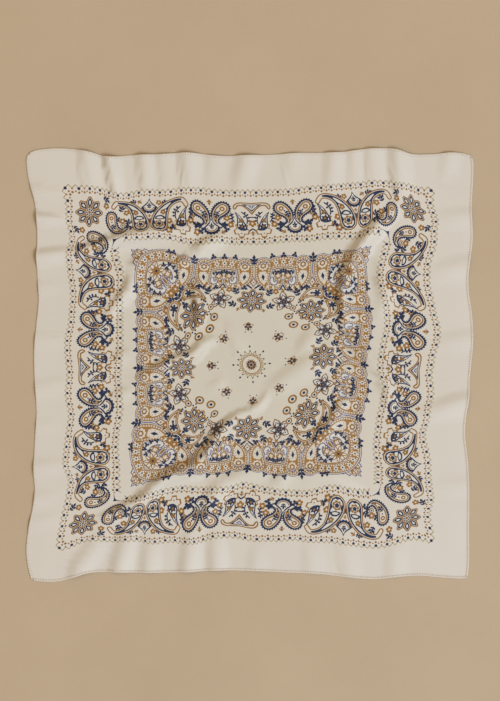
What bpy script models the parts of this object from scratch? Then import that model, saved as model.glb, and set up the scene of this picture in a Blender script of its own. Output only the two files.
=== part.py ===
"""Silk square scarf lying flat, with ripples in its border and long folds across it.

One thin square panel lies on a level surface.  Its outline waves a little, ripples
run in from its edges, and a few longer folds rise across its middle.  Between them
its underside is flat on the surface.  Each of the four sides ends in a narrow
rolled hem, which follows the panel's edge with a fine seam gap.

Units are metres and +Z is up.  +X runs to the right and +Y away from the front
edge.  The origin is the middle of the laid scarf, on the surface that it rests on.
"""

import math
from collections import namedtuple

import bmesh
import bpy
import numpy as np
from mathutils import Vector

MM = 0.001

# Driving sizes, in metres.
HALF_WIDTH = 0.2680  # from the middle of the laid panel to its left and right edges
HALF_DEPTH = 0.2585  # from the middle of the laid panel to its front and back edges
WALL = 0.0010  # thickness of the cloth, square to its surface
HEM_THICK = 0.0024  # height of the rolled hem
SEAM_GAP = 0.0003  # between the panel's edge and the hem, and between two hems
COLUMNS = 54  # mesh cells from left to right
ROWS = 52  # mesh cells from front to back
HEM_SIDES = 6  # faces round the rolled hem

# How the laid shape is worked out.
EDGE_REACH = 3.0  # power with which an edge's wave dies out towards the middle
CORNER_REACH = 0.014  # how far along its sides a rounded corner begins
STEEP_SIDE = 0.82  # share of a fold's half-width on its upper left flank
GENTLE_SIDE = 1.18  # share of it on its lower right flank
MERGE_POWER = 3.0  # how sharply two meeting folds keep the higher of the two
FOLD_STEP = 0.004  # spacing of the points along a fold's crest
RUN_OUT = 14.0  # millimetres by which a border ripple's crest passes the edge

Edge = namedtuple("Edge", "along out")
Crest = namedtuple("Crest", "x y height half_width")
Ripple = namedtuple("Ripple", "side along reach slant height half_width")

# The laid outline: millimetres along each side from its middle, and millimetres
# by which the edge lies outside the nominal square there.
EDGE_WAVES = {
    "front": [
        Edge(-262, 9.9), Edge(-241, 10.6), Edge(-216, 4.4), Edge(-203, 0.1),
        Edge(-185, -1.5), Edge(-162, -1.2), Edge(-121, -0.6), Edge(-79, -1.7),
        Edge(-38, -3.6), Edge(3, -2.9), Edge(45, -0.9), Edge(87, 1.0),
        Edge(127, 5.6), Edge(152, 7.4), Edge(190, 3.9), Edge(210, 3.0),
        Edge(232, 4.9), Edge(262, 7.0),
    ],
    "right": [
        Edge(-262, 1.0), Edge(-240, 2.1), Edge(-198, 2.1), Edge(-178, 2.4),
        Edge(-157, 2.4), Edge(-119, 0.7), Edge(-86, -2.8), Edge(-61, -1.0),
        Edge(-36, 2.8), Edge(-22, 2.9), Edge(-4, 4.5), Edge(30, 7.3),
        Edge(50, 6.8), Edge(63, 5.7), Edge(92, 1.7), Edge(113, 1.6),
        Edge(135, 4.5), Edge(154, 6.6), Edge(195, 5.4), Edge(229, 7.2),
        Edge(256, 7.8),
    ],
    "back": [
        Edge(-262, 5.7), Edge(-233, 8.4), Edge(-213, 6.9), Edge(-196, 3.6),
        Edge(-178, -1.9), Edge(-146, -0.4), Edge(-113, 0.7), Edge(-79, 2.6),
        Edge(-38, -1.2), Edge(0, -0.4), Edge(28, 0.3), Edge(62, 2.5),
        Edge(87, 2.5), Edge(111, 3.4), Edge(152, 8.1), Edge(177, 7.2),
        Edge(195, 1.5), Edge(220, 0.9), Edge(248, 2.9), Edge(264, 1.4),
    ],
    "left": [
        Edge(-262, 3.3), Edge(-228, 9.2), Edge(-198, 6.1), Edge(-180, 2.1),
        Edge(-160, -1.1), Edge(-132, 0.1), Edge(-94, -1.5), Edge(-61, -3.4),
        Edge(-36, -2.3), Edge(-11, -0.7), Edge(10, -0.3), Edge(46, -2.9),
        Edge(80, -6.1), Edge(113, -4.3), Edge(132, -3.5), Edge(154, -4.3),
        Edge(204, 0.0), Edge(225, 6.1), Edge(256, 10.1),
    ],
}

# How far each corner is drawn in along its diagonal, in millimetres.
CORNER_DRAW = {
    ("left", "front"): 1.6,
    ("right", "front"): 1.6,
    ("right", "back"): 3.1,
    ("left", "back"): 5.2,
}

# Ripples that run in from an edge.  Along is where the crest crosses the edge,
# reach how far in it dies out, slant how far sideways its inner end lies, and the
# height and half-width are those at the edge, all in millimetres.
RIPPLES = [
    Ripple("back", -204, 50, 8, 4.0, 18),
    Ripple("back", -176, 62, 12, 6.6, 14),
    Ripple("back", -133, 52, 4, 4.8, 17),
    Ripple("back", -110, 54, 8, 2.4, 17),
    Ripple("back", -79, 50, 4, 4.8, 20),
    Ripple("back", -46, 40, -4, 2.0, 18),
    Ripple("back", -6, 54, -12, 4.4, 21),
    Ripple("back", 50, 42, 2, 2.0, 20),
    Ripple("back", 102, 58, -5, 3.4, 18),
    Ripple("back", 128, 44, 2, 2.2, 15),
    Ripple("back", 151, 58, 7, 2.8, 18),
    Ripple("back", 183, 74, 5, 5.0, 20),
    Ripple("back", 246, 36, -7, 2.2, 18),
    Ripple("front", -215, 56, 34, 4.0, 20),
    Ripple("front", -165, 64, 15, 4.8, 19),
    Ripple("front", -128, 52, 4, 3.4, 18),
    Ripple("front", -79, 66, 6, 4.6, 19),
    Ripple("front", -43, 58, -2, 3.8, 18),
    Ripple("front", 6, 44, 3, 2.0, 19),
    Ripple("front", 76, 50, -4, 1.6, 20),
    Ripple("front", 121, 54, -8, 1.8, 20),
    Ripple("front", 178, 46, 2, 1.6, 20),
    Ripple("left", 216, 34, -3, 1.6, 15),
    Ripple("left", 182, 44, -2, 4.6, 13),
    Ripple("left", 134, 76, 9, 5.2, 15),
    Ripple("left", 95, 36, 2, 1.5, 14),
    Ripple("left", 31, 48, -3, 1.7, 16),
    Ripple("left", -30, 58, 12, 1.8, 17),
    Ripple("left", -76, 34, 3, 1.2, 15),
    Ripple("left", -128, 52, 6, 2.4, 17),
    Ripple("left", -166, 38, 4, 1.6, 15),
    Ripple("left", -196, 34, 5, 1.5, 15),
    Ripple("right", 184, 48, -3, 1.9, 18),
    Ripple("right", 124, 56, -14, 2.2, 20),
    Ripple("right", 32, 42, -5, 1.8, 18),
    Ripple("right", -46, 72, -20, 3.6, 20),
    Ripple("right", -150, 40, 3, 1.4, 18),
]

# Long folds, each a row of sections along its crest.  Places, heights and
# half-widths are in millimetres from the middle of the laid scarf.
FOLDS = {
    "long_diagonal": [
        Crest(-196, -196, 0.0, 8), Crest(-168, -184, 5.5, 12), Crest(-140, -171, 8.5, 14),
        Crest(-111, -146, 9.5, 15), Crest(-59, -117, 12.0, 16), Crest(-36, -84, 11.0, 15),
        Crest(-16, -64, 5.2, 11), Crest(6, -54, 4.0, 9), Crest(18, -40, 2.6, 9),
        Crest(24, -26, 0.0, 7),
    ],
    "past_middle": [
        Crest(14, -38, 0.0, 12), Crest(46, -16, 3.4, 20), Crest(86, 10, 3.0, 22),
        Crest(112, 26, 0.0, 14),
    ],
    "back_right": [
        Crest(186, 200, 0.0, 9), Crest(160, 175, 7.5, 14), Crest(131, 137, 11.5, 16),
        Crest(117, 101, 13.0, 15), Crest(115, 70, 9.5, 14), Crest(120, 42, 0.0, 9),
    ],
    "back_left": [
        Crest(-226, 136, 3.0, 12), Crest(-193, 146, 8.0, 14), Crest(-162, 156, 10.0, 15),
        Crest(-128, 163, 8.0, 15), Crest(-90, 168, 5.0, 14), Crest(-48, 170, 0.0, 9),
    ],
    "front_middle": [
        Crest(-68, -214, 0.0, 10), Crest(-56, -188, 3.0, 15), Crest(-43, -157, 3.8, 17),
        Crest(-22, -142, 3.2, 16), Crest(10, -133, 2.0, 15), Crest(34, -134, 0.0, 10),
    ],
    "left_lean": [
        Crest(-184, 52, 0.0, 8), Crest(-168, 74, 5.0, 12), Crest(-151, 96, 6.5, 13),
        Crest(-143, 122, 5.0, 12), Crest(-140, 142, 0.0, 8),
    ],
    "left_of_middle": [
        Crest(-146, -22, 0.0, 8), Crest(-122, -9, 5.5, 12), Crest(-96, 4, 7.5, 13),
        Crest(-72, 12, 7.0, 12), Crest(-56, 28, 5.0, 11), Crest(-38, 31, 0.0, 8),
    ],
    "short_upright": [
        Crest(-69, 108, 0.0, 7), Crest(-67, 90, 8.0, 11), Crest(-64, 65, 9.5, 12),
        Crest(-67, 44, 0.0, 8),
    ],
    "upper_slip": [
        Crest(-82, 128, 0.0, 10), Crest(-68, 140, 5.0, 14), Crest(-48, 154, 5.4, 16),
        Crest(-24, 164, 0.0, 11),
    ],
    "right_cross": [
        Crest(108, 46, 0.0, 8), Crest(128, 26, 4.2, 12), Crest(160, -6, 5.5, 14),
        Crest(171, -36, 4.0, 13), Crest(170, -62, 0.0, 8),
    ],
    "right_bow": [
        Crest(148, 160, 0.0, 10), Crest(160, 126, 4.0, 16), Crest(166, 90, 4.6, 18),
        Crest(158, 52, 0.0, 12),
    ],
    "lower_right": [
        Crest(126, -34, 0.0, 8), Crest(111, -54, 4.4, 12), Crest(92, -80, 5.0, 13),
        Crest(74, -106, 0.0, 8),
    ],
    "lower_slope": [
        Crest(36, -118, 0.0, 10), Crest(66, -134, 3.4, 14), Crest(104, -142, 3.6, 15),
        Crest(140, -158, 0.0, 10),
    ],
}

# Colours are linear RGB.
SILK = (0.640, 0.585, 0.500)
HEM_SILK = (0.660, 0.570, 0.480)


def clear_scene():
    """Remove whatever the file starts with."""
    for thing in list(bpy.data.objects):
        bpy.data.objects.remove(thing, do_unlink=True)


def fabric(name, colour, roughness):
    """A matt, slightly sheened cloth."""
    material = bpy.data.materials.new(name)
    material.use_nodes = True
    shader = material.node_tree.nodes["Principled BSDF"]
    shader.inputs["Base Color"].default_value = (*colour, 1.0)
    shader.inputs["Roughness"].default_value = roughness
    shader.inputs["Metallic"].default_value = 0.0
    shader.inputs["Sheen Weight"].default_value = 0.2
    return material


def smooth_through(stations, values, at):
    """Read a smooth curve through table rows at the places `at`."""
    stations = np.asarray(stations, float)
    values = np.asarray(values, float)
    slopes = np.gradient(values, stations)
    at = np.clip(at, stations[0], stations[-1])
    index = np.clip(np.searchsorted(stations, at) - 1, 0, len(stations) - 2)
    span = stations[index + 1] - stations[index]
    t = (at - stations[index]) / span
    return (
        (1 + 2 * t) * (1 - t) ** 2 * values[index]
        + t * (1 - t) ** 2 * span * slopes[index]
        + t * t * (3 - 2 * t) * values[index + 1]
        + t * t * (t - 1) * span * slopes[index + 1]
    )


def edge_wave(side, along):
    """How far outside the nominal square a side's edge lies, in metres."""
    rows = EDGE_WAVES[side]
    stations = [row.along for row in rows]
    return MM * smooth_through(stations, [row.out for row in rows], along / MM)


def laid_place(u, v):
    """Where the panel's point (u, v), each from -1 to 1, lies on the surface."""
    x = u * HALF_WIDTH
    y = v * HALF_DEPTH
    pull = {
        "right": np.maximum(u, 0.0) ** EDGE_REACH,
        "left": np.maximum(-u, 0.0) ** EDGE_REACH,
        "back": np.maximum(v, 0.0) ** EDGE_REACH,
        "front": np.maximum(-v, 0.0) ** EDGE_REACH,
    }
    move_x = edge_wave("right", y) * pull["right"] - edge_wave("left", y) * pull["left"]
    move_y = edge_wave("back", x) * pull["back"] - edge_wave("front", x) * pull["front"]
    for (side_x, side_y), draw in CORNER_DRAW.items():
        sign_x = 1.0 if side_x == "right" else -1.0
        sign_y = 1.0 if side_y == "back" else -1.0
        short = (1 - sign_x * u) * HALF_WIDTH + (1 - sign_y * v) * HALF_DEPTH
        near = np.clip(1 - short / CORNER_REACH, 0.0, 1.0) ** 2
        move_x = move_x - sign_x * near * draw * MM * math.sqrt(0.5)
        move_y = move_y - sign_y * near * draw * MM * math.sqrt(0.5)
    return x + move_x, y + move_y


def ripple_crest(ripple):
    """The sections along a border ripple, from beyond the edge to its inner end."""
    half = {"front": HALF_DEPTH, "back": HALF_DEPTH, "left": HALF_WIDTH, "right": HALF_WIDTH}
    edge = half[ripple.side] / MM
    shape = [  # share of the reach, of the height and of the half-width
        (-RUN_OUT / ripple.reach, 1.0, 1.0),
        (0.0, 1.0, 1.0),
        (0.45, 0.78, 0.95),
        (0.8, 0.3, 0.8),
        (1.0, 0.0, 0.6),
    ]
    crest = []
    for inward, high, wide in shape:
        along = ripple.along + ripple.slant * max(inward, 0.0)
        off = edge - inward * ripple.reach
        place = {
            "front": (along, -off),
            "back": (along, off),
            "left": (-off, along),
            "right": (off, along),
        }[ripple.side]
        crest.append(Crest(*place, ripple.height * high, ripple.half_width * wide))
    return crest


def crest_points(crest):
    """Close points along a fold's crest, on one smooth curve, in metres."""
    rows = np.asarray(crest, float) * MM
    steps = np.linalg.norm(np.diff(rows[:, :2], axis=0), axis=1)
    stations = np.concatenate([[0.0], np.cumsum(steps)])
    count = max(2, int(round(stations[-1] / FOLD_STEP)) + 1)
    at = np.linspace(0.0, stations[-1], count)
    columns = [smooth_through(stations, rows[:, k], at) for k in range(4)]
    columns[2] = np.maximum(columns[2], 0.0)
    return np.stack(columns, axis=1)


def rise_over(crest, x, y):
    """The height of one fold above each place (x, y), nothing outside its width."""
    points = crest_points(crest)
    best = np.full(x.shape, np.inf)
    rise = np.zeros(x.shape)
    for (ax, ay, a_high, a_wide), (bx, by, b_high, b_wide) in zip(points, points[1:]):
        run_x, run_y = bx - ax, by - ay
        length = run_x * run_x + run_y * run_y
        t = np.clip(((x - ax) * run_x + (y - ay) * run_y) / length, 0.0, 1.0)
        off_x = x - ax - t * run_x
        off_y = y - ay - t * run_y
        flank = np.where(off_y - off_x > 0, STEEP_SIDE, GENTLE_SIDE)
        share = np.hypot(off_x, off_y) / ((a_wide + t * (b_wide - a_wide)) * flank)
        high = a_high + t * (b_high - a_high)
        lift = high * np.cos(0.5 * math.pi * np.minimum(share, 1.0)) ** 2
        rise = np.where(share < best, lift, rise)
        best = np.minimum(best, share)
    return rise


def cloth_height(x, y):
    """The height of the cloth's underside above the surface, at each place (x, y)."""
    crests = list(FOLDS.values()) + [ripple_crest(ripple) for ripple in RIPPLES]
    total = np.zeros(x.shape)
    for crest in crests:
        total += rise_over(crest, x, y) ** MERGE_POWER
    return total ** (1.0 / MERGE_POWER)


def wall_height(x, y):
    """How tall the wall is at (x, y), so that it is WALL thick square to its slope."""
    small = 0.5 * MM
    slope_x = (cloth_height(x + small, y) - cloth_height(x - small, y)) / (2 * small)
    slope_y = (cloth_height(x, y + small) - cloth_height(x, y - small)) / (2 * small)
    return WALL * np.sqrt(1 + slope_x**2 + slope_y**2)


def middle_of_outline():
    """The middle of the laid outline's box, hem included, which becomes the origin."""
    t = np.linspace(-1.0, 1.0, 400)
    one = np.ones_like(t)
    sides = [laid_place(t, -one), laid_place(one, t), laid_place(t, one), laid_place(-one, t)]
    x = np.concatenate([side[0] for side in sides])
    y = np.concatenate([side[1] for side in sides])
    return (x.min() + x.max()) / 2, (y.min() + y.max()) / 2


def panel_grid():
    """The panel's mesh points: place, underside and top, as (row, column) arrays."""
    u, v = np.meshgrid(np.linspace(-1, 1, COLUMNS + 1), np.linspace(-1, 1, ROWS + 1))
    x, y = laid_place(u, v)
    under = cloth_height(x, y)
    return x, y, under, under + wall_height(x, y)


def cell_middle_heights(x, y):
    """The cloth's true height in the middle of each mesh cell."""
    mid_x = (x[1:, 1:] + x[1:, :-1] + x[:-1, 1:] + x[:-1, :-1]) / 4
    mid_y = (y[1:, 1:] + y[1:, :-1] + y[:-1, 1:] + y[:-1, :-1]) / 4
    return cloth_height(mid_x, mid_y)


def add_object(name, verts, faces, material, smooth):
    """One closed mesh with its faces pointing out."""
    mesh = bpy.data.meshes.new(name)
    mesh.from_pydata(verts, [], faces)
    shape = bmesh.new()
    shape.from_mesh(mesh)
    bmesh.ops.recalc_face_normals(shape, faces=shape.faces)
    shape.to_mesh(mesh)
    shape.free()
    mesh.materials.append(material)
    if smooth:
        mesh.shade_smooth()
        mesh.set_sharp_from_angle(angle=math.radians(50))
    thing = bpy.data.objects.new(name, mesh)
    bpy.context.scene.collection.objects.link(thing)
    return thing


def split_quad(a, b, c, d, heights, middle_height):
    """Two triangles of a quad, cut along the diagonal that lies closer to the cloth."""
    off_ac = abs((heights[a] + heights[c]) / 2 - middle_height)
    off_bd = abs((heights[b] + heights[d]) / 2 - middle_height)
    if off_ac <= off_bd:
        return [(a, b, c), (a, c, d)]
    return [(a, b, d), (b, c, d)]


def build_panel(grid, middle, material):
    """The cloth itself: an underside and a top joined round the edge."""
    x, y, under, top = grid
    wide = COLUMNS + 1
    layer = wide * (ROWS + 1)
    verts = []
    for z in (under, top):
        verts += [
            (px - middle[0], py - middle[1], pz)
            for px, py, pz in zip(x.ravel(), y.ravel(), z.ravel())
        ]
    heights = under.ravel()
    cell_heights = cell_middle_heights(x, y)
    faces = []
    for row in range(ROWS):
        for column in range(COLUMNS):
            a = row * wide + column
            corners = (a, a + 1, a + wide + 1, a + wide)
            for triangle in split_quad(*corners, heights, cell_heights[row, column]):
                faces.append(triangle[::-1])
                faces.append(tuple(index + layer for index in triangle))
    loop = edge_loop_indices()
    for start, end in zip(loop, loop[1:] + loop[:1]):
        faces.append((start, end, end + layer, start + layer))
    return add_object("cloth", verts, faces, material, smooth=True)


def edge_loop_indices():
    """Grid indices round the panel's edge: front, right, back, then left."""
    wide = COLUMNS + 1
    front = [column for column in range(COLUMNS)]
    right = [row * wide + COLUMNS for row in range(ROWS)]
    back = [ROWS * wide + column for column in range(COLUMNS, 0, -1)]
    left = [row * wide for row in range(ROWS, 0, -1)]
    return front + right + back + left


def hem_rings(points):
    """A ring of hem corners at each edge point, mitred, just outside the panel."""
    radius = HEM_THICK / 2 / math.cos(math.pi / HEM_SIDES)
    rings = []
    count = len(points)
    for index, point in enumerate(points):
        before = point - points[index - 1]
        after = points[(index + 1) % count] - point
        run_in = Vector((before.x, before.y, 0)).normalized()
        run_out = Vector((after.x, after.y, 0)).normalized()
        outward = (run_in + run_out).normalized().cross(Vector((0, 0, 1)))
        mitre = 1 / outward.dot(run_out.cross(Vector((0, 0, 1))))
        along = (before.normalized() + after.normalized()).normalized()
        upward = outward.cross(along)
        if upward.z < 0:
            upward = -upward
        middle = point + outward * mitre * (SEAM_GAP + radius) + upward * HEM_THICK / 2
        ring = []
        for side in range(HEM_SIDES):
            angle = 2 * math.pi * side / HEM_SIDES
            across = outward * mitre * radius * math.cos(angle)
            ring.append(middle + across + upward * radius * math.sin(angle))
        rings.append(ring)
    return rings


def parted(ring, neighbour):
    """The ring drawn towards its neighbour by half the gap between two hems."""
    run = sum(neighbour, Vector()) - sum(ring, Vector())
    pull_back = run.normalized() * SEAM_GAP / 2 / math.cos(math.pi / 4)
    return [corner + pull_back for corner in ring]


def build_hems(grid, middle, material):
    """Four rolled hems, parted at the corners."""
    x, y, under, _ = grid
    flat_x, flat_y, flat_z = x.ravel(), y.ravel(), under.ravel()
    points = [
        Vector((flat_x[k] - middle[0], flat_y[k] - middle[1], flat_z[k]))
        for k in edge_loop_indices()
    ]
    rings = hem_rings(points)
    lengths = {"front": COLUMNS, "right": ROWS, "back": COLUMNS, "left": ROWS}
    start = 0
    for side, cells in lengths.items():
        chain = [rings[(start + k) % len(rings)] for k in range(cells + 1)]
        chain[0] = parted(chain[0], chain[1])
        chain[-1] = parted(chain[-1], chain[-2])
        add_object(f"hem_{side}", *tube_mesh(chain), material, smooth=True)
        start += cells


def tube_mesh(chain):
    """Vertices and faces of a closed bar through a chain of rings."""
    verts = [tuple(corner) for ring in chain for corner in ring]
    faces = []
    for k in range(len(chain) - 1):
        for side in range(HEM_SIDES):
            a = k * HEM_SIDES + side
            b = k * HEM_SIDES + (side + 1) % HEM_SIDES
            faces.append((a, b, b + HEM_SIDES))
            faces.append((a, b + HEM_SIDES, a + HEM_SIDES))
    last = (len(chain) - 1) * HEM_SIDES
    faces.append(tuple(range(HEM_SIDES)))
    faces.append(tuple(range(last, last + HEM_SIDES)))
    return verts, faces


def main():
    clear_scene()
    grid = panel_grid()
    middle = middle_of_outline()
    build_panel(grid, middle, fabric("printed_silk", SILK, 0.6))
    build_hems(grid, middle, fabric("rolled_silk", HEM_SILK, 0.65))


main()
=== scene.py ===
"""Looks of the silk square scarf: thin printed cloth with rolled, whip-stitched hems.

The cloth repeats the laid outline and folds of the CAD part in its own sizes. The
print is drawn flat as closed outlines, in one eighth of the square, and is cut into
the cloth's mesh, so that each ink is a material of its own.

Units are metres and +Z is up, in the part's frame. Tables are in millimetres.
"""

import math

import bpy
import numpy as np
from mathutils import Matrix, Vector
from mathutils.geometry import delaunay_2d_cdt


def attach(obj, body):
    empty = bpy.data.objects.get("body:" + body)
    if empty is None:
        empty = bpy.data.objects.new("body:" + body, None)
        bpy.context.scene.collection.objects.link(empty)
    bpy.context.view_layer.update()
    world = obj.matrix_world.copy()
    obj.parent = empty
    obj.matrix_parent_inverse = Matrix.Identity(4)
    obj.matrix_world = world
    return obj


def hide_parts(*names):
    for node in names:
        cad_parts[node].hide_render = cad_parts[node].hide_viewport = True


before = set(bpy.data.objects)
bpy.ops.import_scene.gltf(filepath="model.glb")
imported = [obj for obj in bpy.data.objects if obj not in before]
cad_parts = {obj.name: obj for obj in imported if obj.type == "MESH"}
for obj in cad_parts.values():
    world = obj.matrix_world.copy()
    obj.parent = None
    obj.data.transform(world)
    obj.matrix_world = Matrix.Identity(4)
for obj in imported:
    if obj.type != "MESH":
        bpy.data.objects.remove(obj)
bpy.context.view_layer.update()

MM = 0.001

# The laid shape, as in the CAD part.
HALF_WIDTH = 0.2680
HALF_DEPTH = 0.2585
EDGE_REACH = 3.0
CORNER_REACH = 0.014
STEEP_SIDE = 0.82
GENTLE_SIDE = 1.18
MERGE_POWER = 3.0
FOLD_STEP = 0.004
RUN_OUT = 14.0

# The looks' own sizes, in metres.
SILK = 0.0004  # thickness of the cloth
GRID = 0.001  # spacing of the grid on which the cloth's height is worked out
RIM = 0.290  # half-size of that grid
SOFT_RISE = 0.0005  # most that the faint unevenness lifts the cloth
UNDER_STEP = 12.0  # mesh spacing of the underside, in millimetres
HEM_WIDE = 0.0026  # width of the rolled hem, which its own weight flattens
HEM_HIGH = 0.0008  # and its height
HEM_LAP = 0.0008  # how far its roll lies over the cloth's edge
HEM_SIDES = 10  # faces round the rolled hem
STITCH_PITCH = 0.0031  # spacing of the whip stitches
STITCH_THICK = 0.00055  # thickness of their thread
STITCH_BITE = 0.0009  # how far past the hem each stitch goes into the cloth
THREAD_SIDES = 5  # faces round the thread

BATCH = 4000  # points laid down at once
TINY = 1e-6  # share of the half-size within which a point lies on the edge
NO_AREA = 1e-7  # triangles smaller than this are dropped, in square millimetres
NO_LENGTH = 1e-9  # keeps a share or a length from being 0
UV_PART = 0.494  # share of the bake map's height for each face of the cloth
UV_EDGE = 0.004  # and for the cloth's edge
MARK_SLACK = 0.0004  # how far the laid print may miss a mark: 0 would hold every one
RIM_CELLS = 62  # mesh cells along half an edge
CUT_SLACK = 0.02  # print points closer than this are joined, in millimetres
SNAP = 0.002  # likewise along the lines on which the eighth is mirrored
HEM_PART = 0.03  # share of its end cell by which each hem stops short of the corner
STITCH_LEAN = 0.0005  # how far a stitch leans along the edge
STITCH_TURNS = (135, 105, 75, 45, 15, -20)  # its places round the hem, in degrees
STITCH_END = 0.55  # thickness of its ends, as a share of the thread's
MIDDLE_SHADE_REACH = 0.33  # how far from the middle the ground keeps some of its darker middle tone, which is painted shade
WEAVE_SCALE = 620.0  # gives threads about 0.5 mm apart
SOFT_WAVES = 14  # waves in the faint unevenness
SOFT_LENGTHS = (0.035, 0.16)  # and the range of their lengths

# Inks, floor, light and camera.
INKS = (  # name, colour and sheen of each ink after the bare ground, in their order
    ("ink_navy", (19, 35, 70), 0.15), ("ink_ochre", (140, 100, 42), 0.15),
    ("ink_periwinkle", (88, 92, 132), 0.15), ("ink_olive", (148, 128, 78), 0.15),
    ("ink_milk", (209, 208, 201), 0.25), ("ink_gold", (157, 114, 52), 0.15),
)
INK_ROUGH = 0.55  # roughness of the inked silk
INK_WEAVE = 0.25  # strength of its weave's bump
FLOOR_HALF = 2.5  # half-size of the floor
FLOOR_HEIGHT = -0.0003  # just under the cloth
FLOOR_DEEP = (0.45, 0.353, 0.242, 1.0)
FLOOR_PLAIN = (0.575, 0.47, 0.34, 1.0)
KEY_PLACE = (3.7, -2.7, 5.1)
KEY_SIZE = 3.3
KEY_WATTS = 318.0
KEY_COLOUR = (0.865, 1.01, 1.205)
FILL_PLACE = (-0.6, 0.8, 2.4)
FILL_SIZE = 2.4
FILL_WATTS = 15.0
FILL_COLOUR = (1.0, 0.88, 0.72)
WORLD_COLOUR = (1.0, 0.72, 0.40, 1.0)
WORLD_STRENGTH = 0.40
SENSOR = 36.0  # width of the camera's sensor, in millimetres
CAMERA_HEIGHT = 2.2
FRAME_WIDTH = 0.622  # what the picture spans on the floor, from left to right
FRAME_MIDDLE = (-0.0006, 0.0168)  # the picture's middle, before the recentring

# The laid outline, ripples and folds of the CAD part, in millimetres.
EDGE_WAVES = {  # place along the side, and how far out its edge lies
    "front": [(-262, 9.9), (-241, 10.6), (-216, 4.4), (-203, 0.1), (-185, -1.5), (-162, -1.2),
        (-121, -0.6), (-79, -1.7), (-38, -3.6), (3, -2.9), (45, -0.9), (87, 1), (127, 5.6),
        (152, 7.4), (190, 3.9), (210, 3), (232, 4.9), (262, 7)],
    "right": [(-262, 1), (-240, 2.1), (-198, 2.1), (-178, 2.4), (-157, 2.4), (-119, 0.7),
        (-86, -2.8), (-61, -1), (-36, 2.8), (-22, 2.9), (-4, 4.5), (30, 7.3), (50, 6.8),
        (63, 5.7), (92, 1.7), (113, 1.6), (135, 4.5), (154, 6.6), (195, 5.4), (229, 7.2),
        (256, 7.8)],
    "back": [(-262, 5.7), (-233, 8.4), (-213, 6.9), (-196, 3.6), (-178, -1.9), (-146, -0.4),
        (-113, 0.7), (-79, 2.6), (-38, -1.2), (0, -0.4), (28, 0.3), (62, 2.5), (87, 2.5),
        (111, 3.4), (152, 8.1), (177, 7.2), (195, 1.5), (220, 0.9), (248, 2.9), (264, 1.4)],
    "left": [(-262, 3.3), (-228, 9.2), (-198, 6.1), (-180, 2.1), (-160, -1.1), (-132, 0.1),
        (-94, -1.5), (-61, -3.4), (-36, -2.3), (-11, -0.7), (10, -0.3), (46, -2.9), (80, -6.1),
        (113, -4.3), (132, -3.5), (154, -4.3), (204, 0), (225, 6.1), (256, 10.1)],
}
CORNER_DRAW = {(-1, -1): 1.6, (1, -1): 1.6, (1, 1): 3.1, (-1, 1): 5.2}  # how far in
RIPPLES = {  # place along, reach, slant, height, half-width
    "back": [(-204, 50, 8, 4, 18), (-176, 62, 12, 6.6, 14), (-133, 52, 4, 4.8, 17),
        (-110, 54, 8, 2.4, 17), (-79, 50, 4, 4.8, 20), (-46, 40, -4, 2, 18),
        (-6, 54, -12, 4.4, 21), (50, 42, 2, 2, 20), (102, 58, -5, 3.4, 18),
        (128, 44, 2, 2.2, 15), (151, 58, 7, 2.8, 18), (183, 74, 5, 5, 20),
        (246, 36, -7, 2.2, 18)],
    "front": [(-215, 56, 34, 4, 20), (-165, 64, 15, 4.8, 19), (-128, 52, 4, 3.4, 18),
        (-79, 66, 6, 4.6, 19), (-43, 58, -2, 3.8, 18), (6, 44, 3, 2, 19), (76, 50, -4, 1.6, 20),
        (121, 54, -8, 1.8, 20), (178, 46, 2, 1.6, 20)],
    "left": [(216, 34, -3, 1.6, 15), (182, 44, -2, 4.6, 13), (134, 76, 9, 5.2, 15),
        (95, 36, 2, 1.5, 14), (31, 48, -3, 1.7, 16), (-30, 58, 12, 1.8, 17),
        (-76, 34, 3, 1.2, 15), (-128, 52, 6, 2.4, 17), (-166, 38, 4, 1.6, 15),
        (-196, 34, 5, 1.5, 15)],
    "right": [(184, 48, -3, 1.9, 18), (124, 56, -14, 2.2, 20), (32, 42, -5, 1.8, 18),
        (-46, 72, -20, 3.6, 20), (-150, 40, 3, 1.4, 18)],
}
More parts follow.
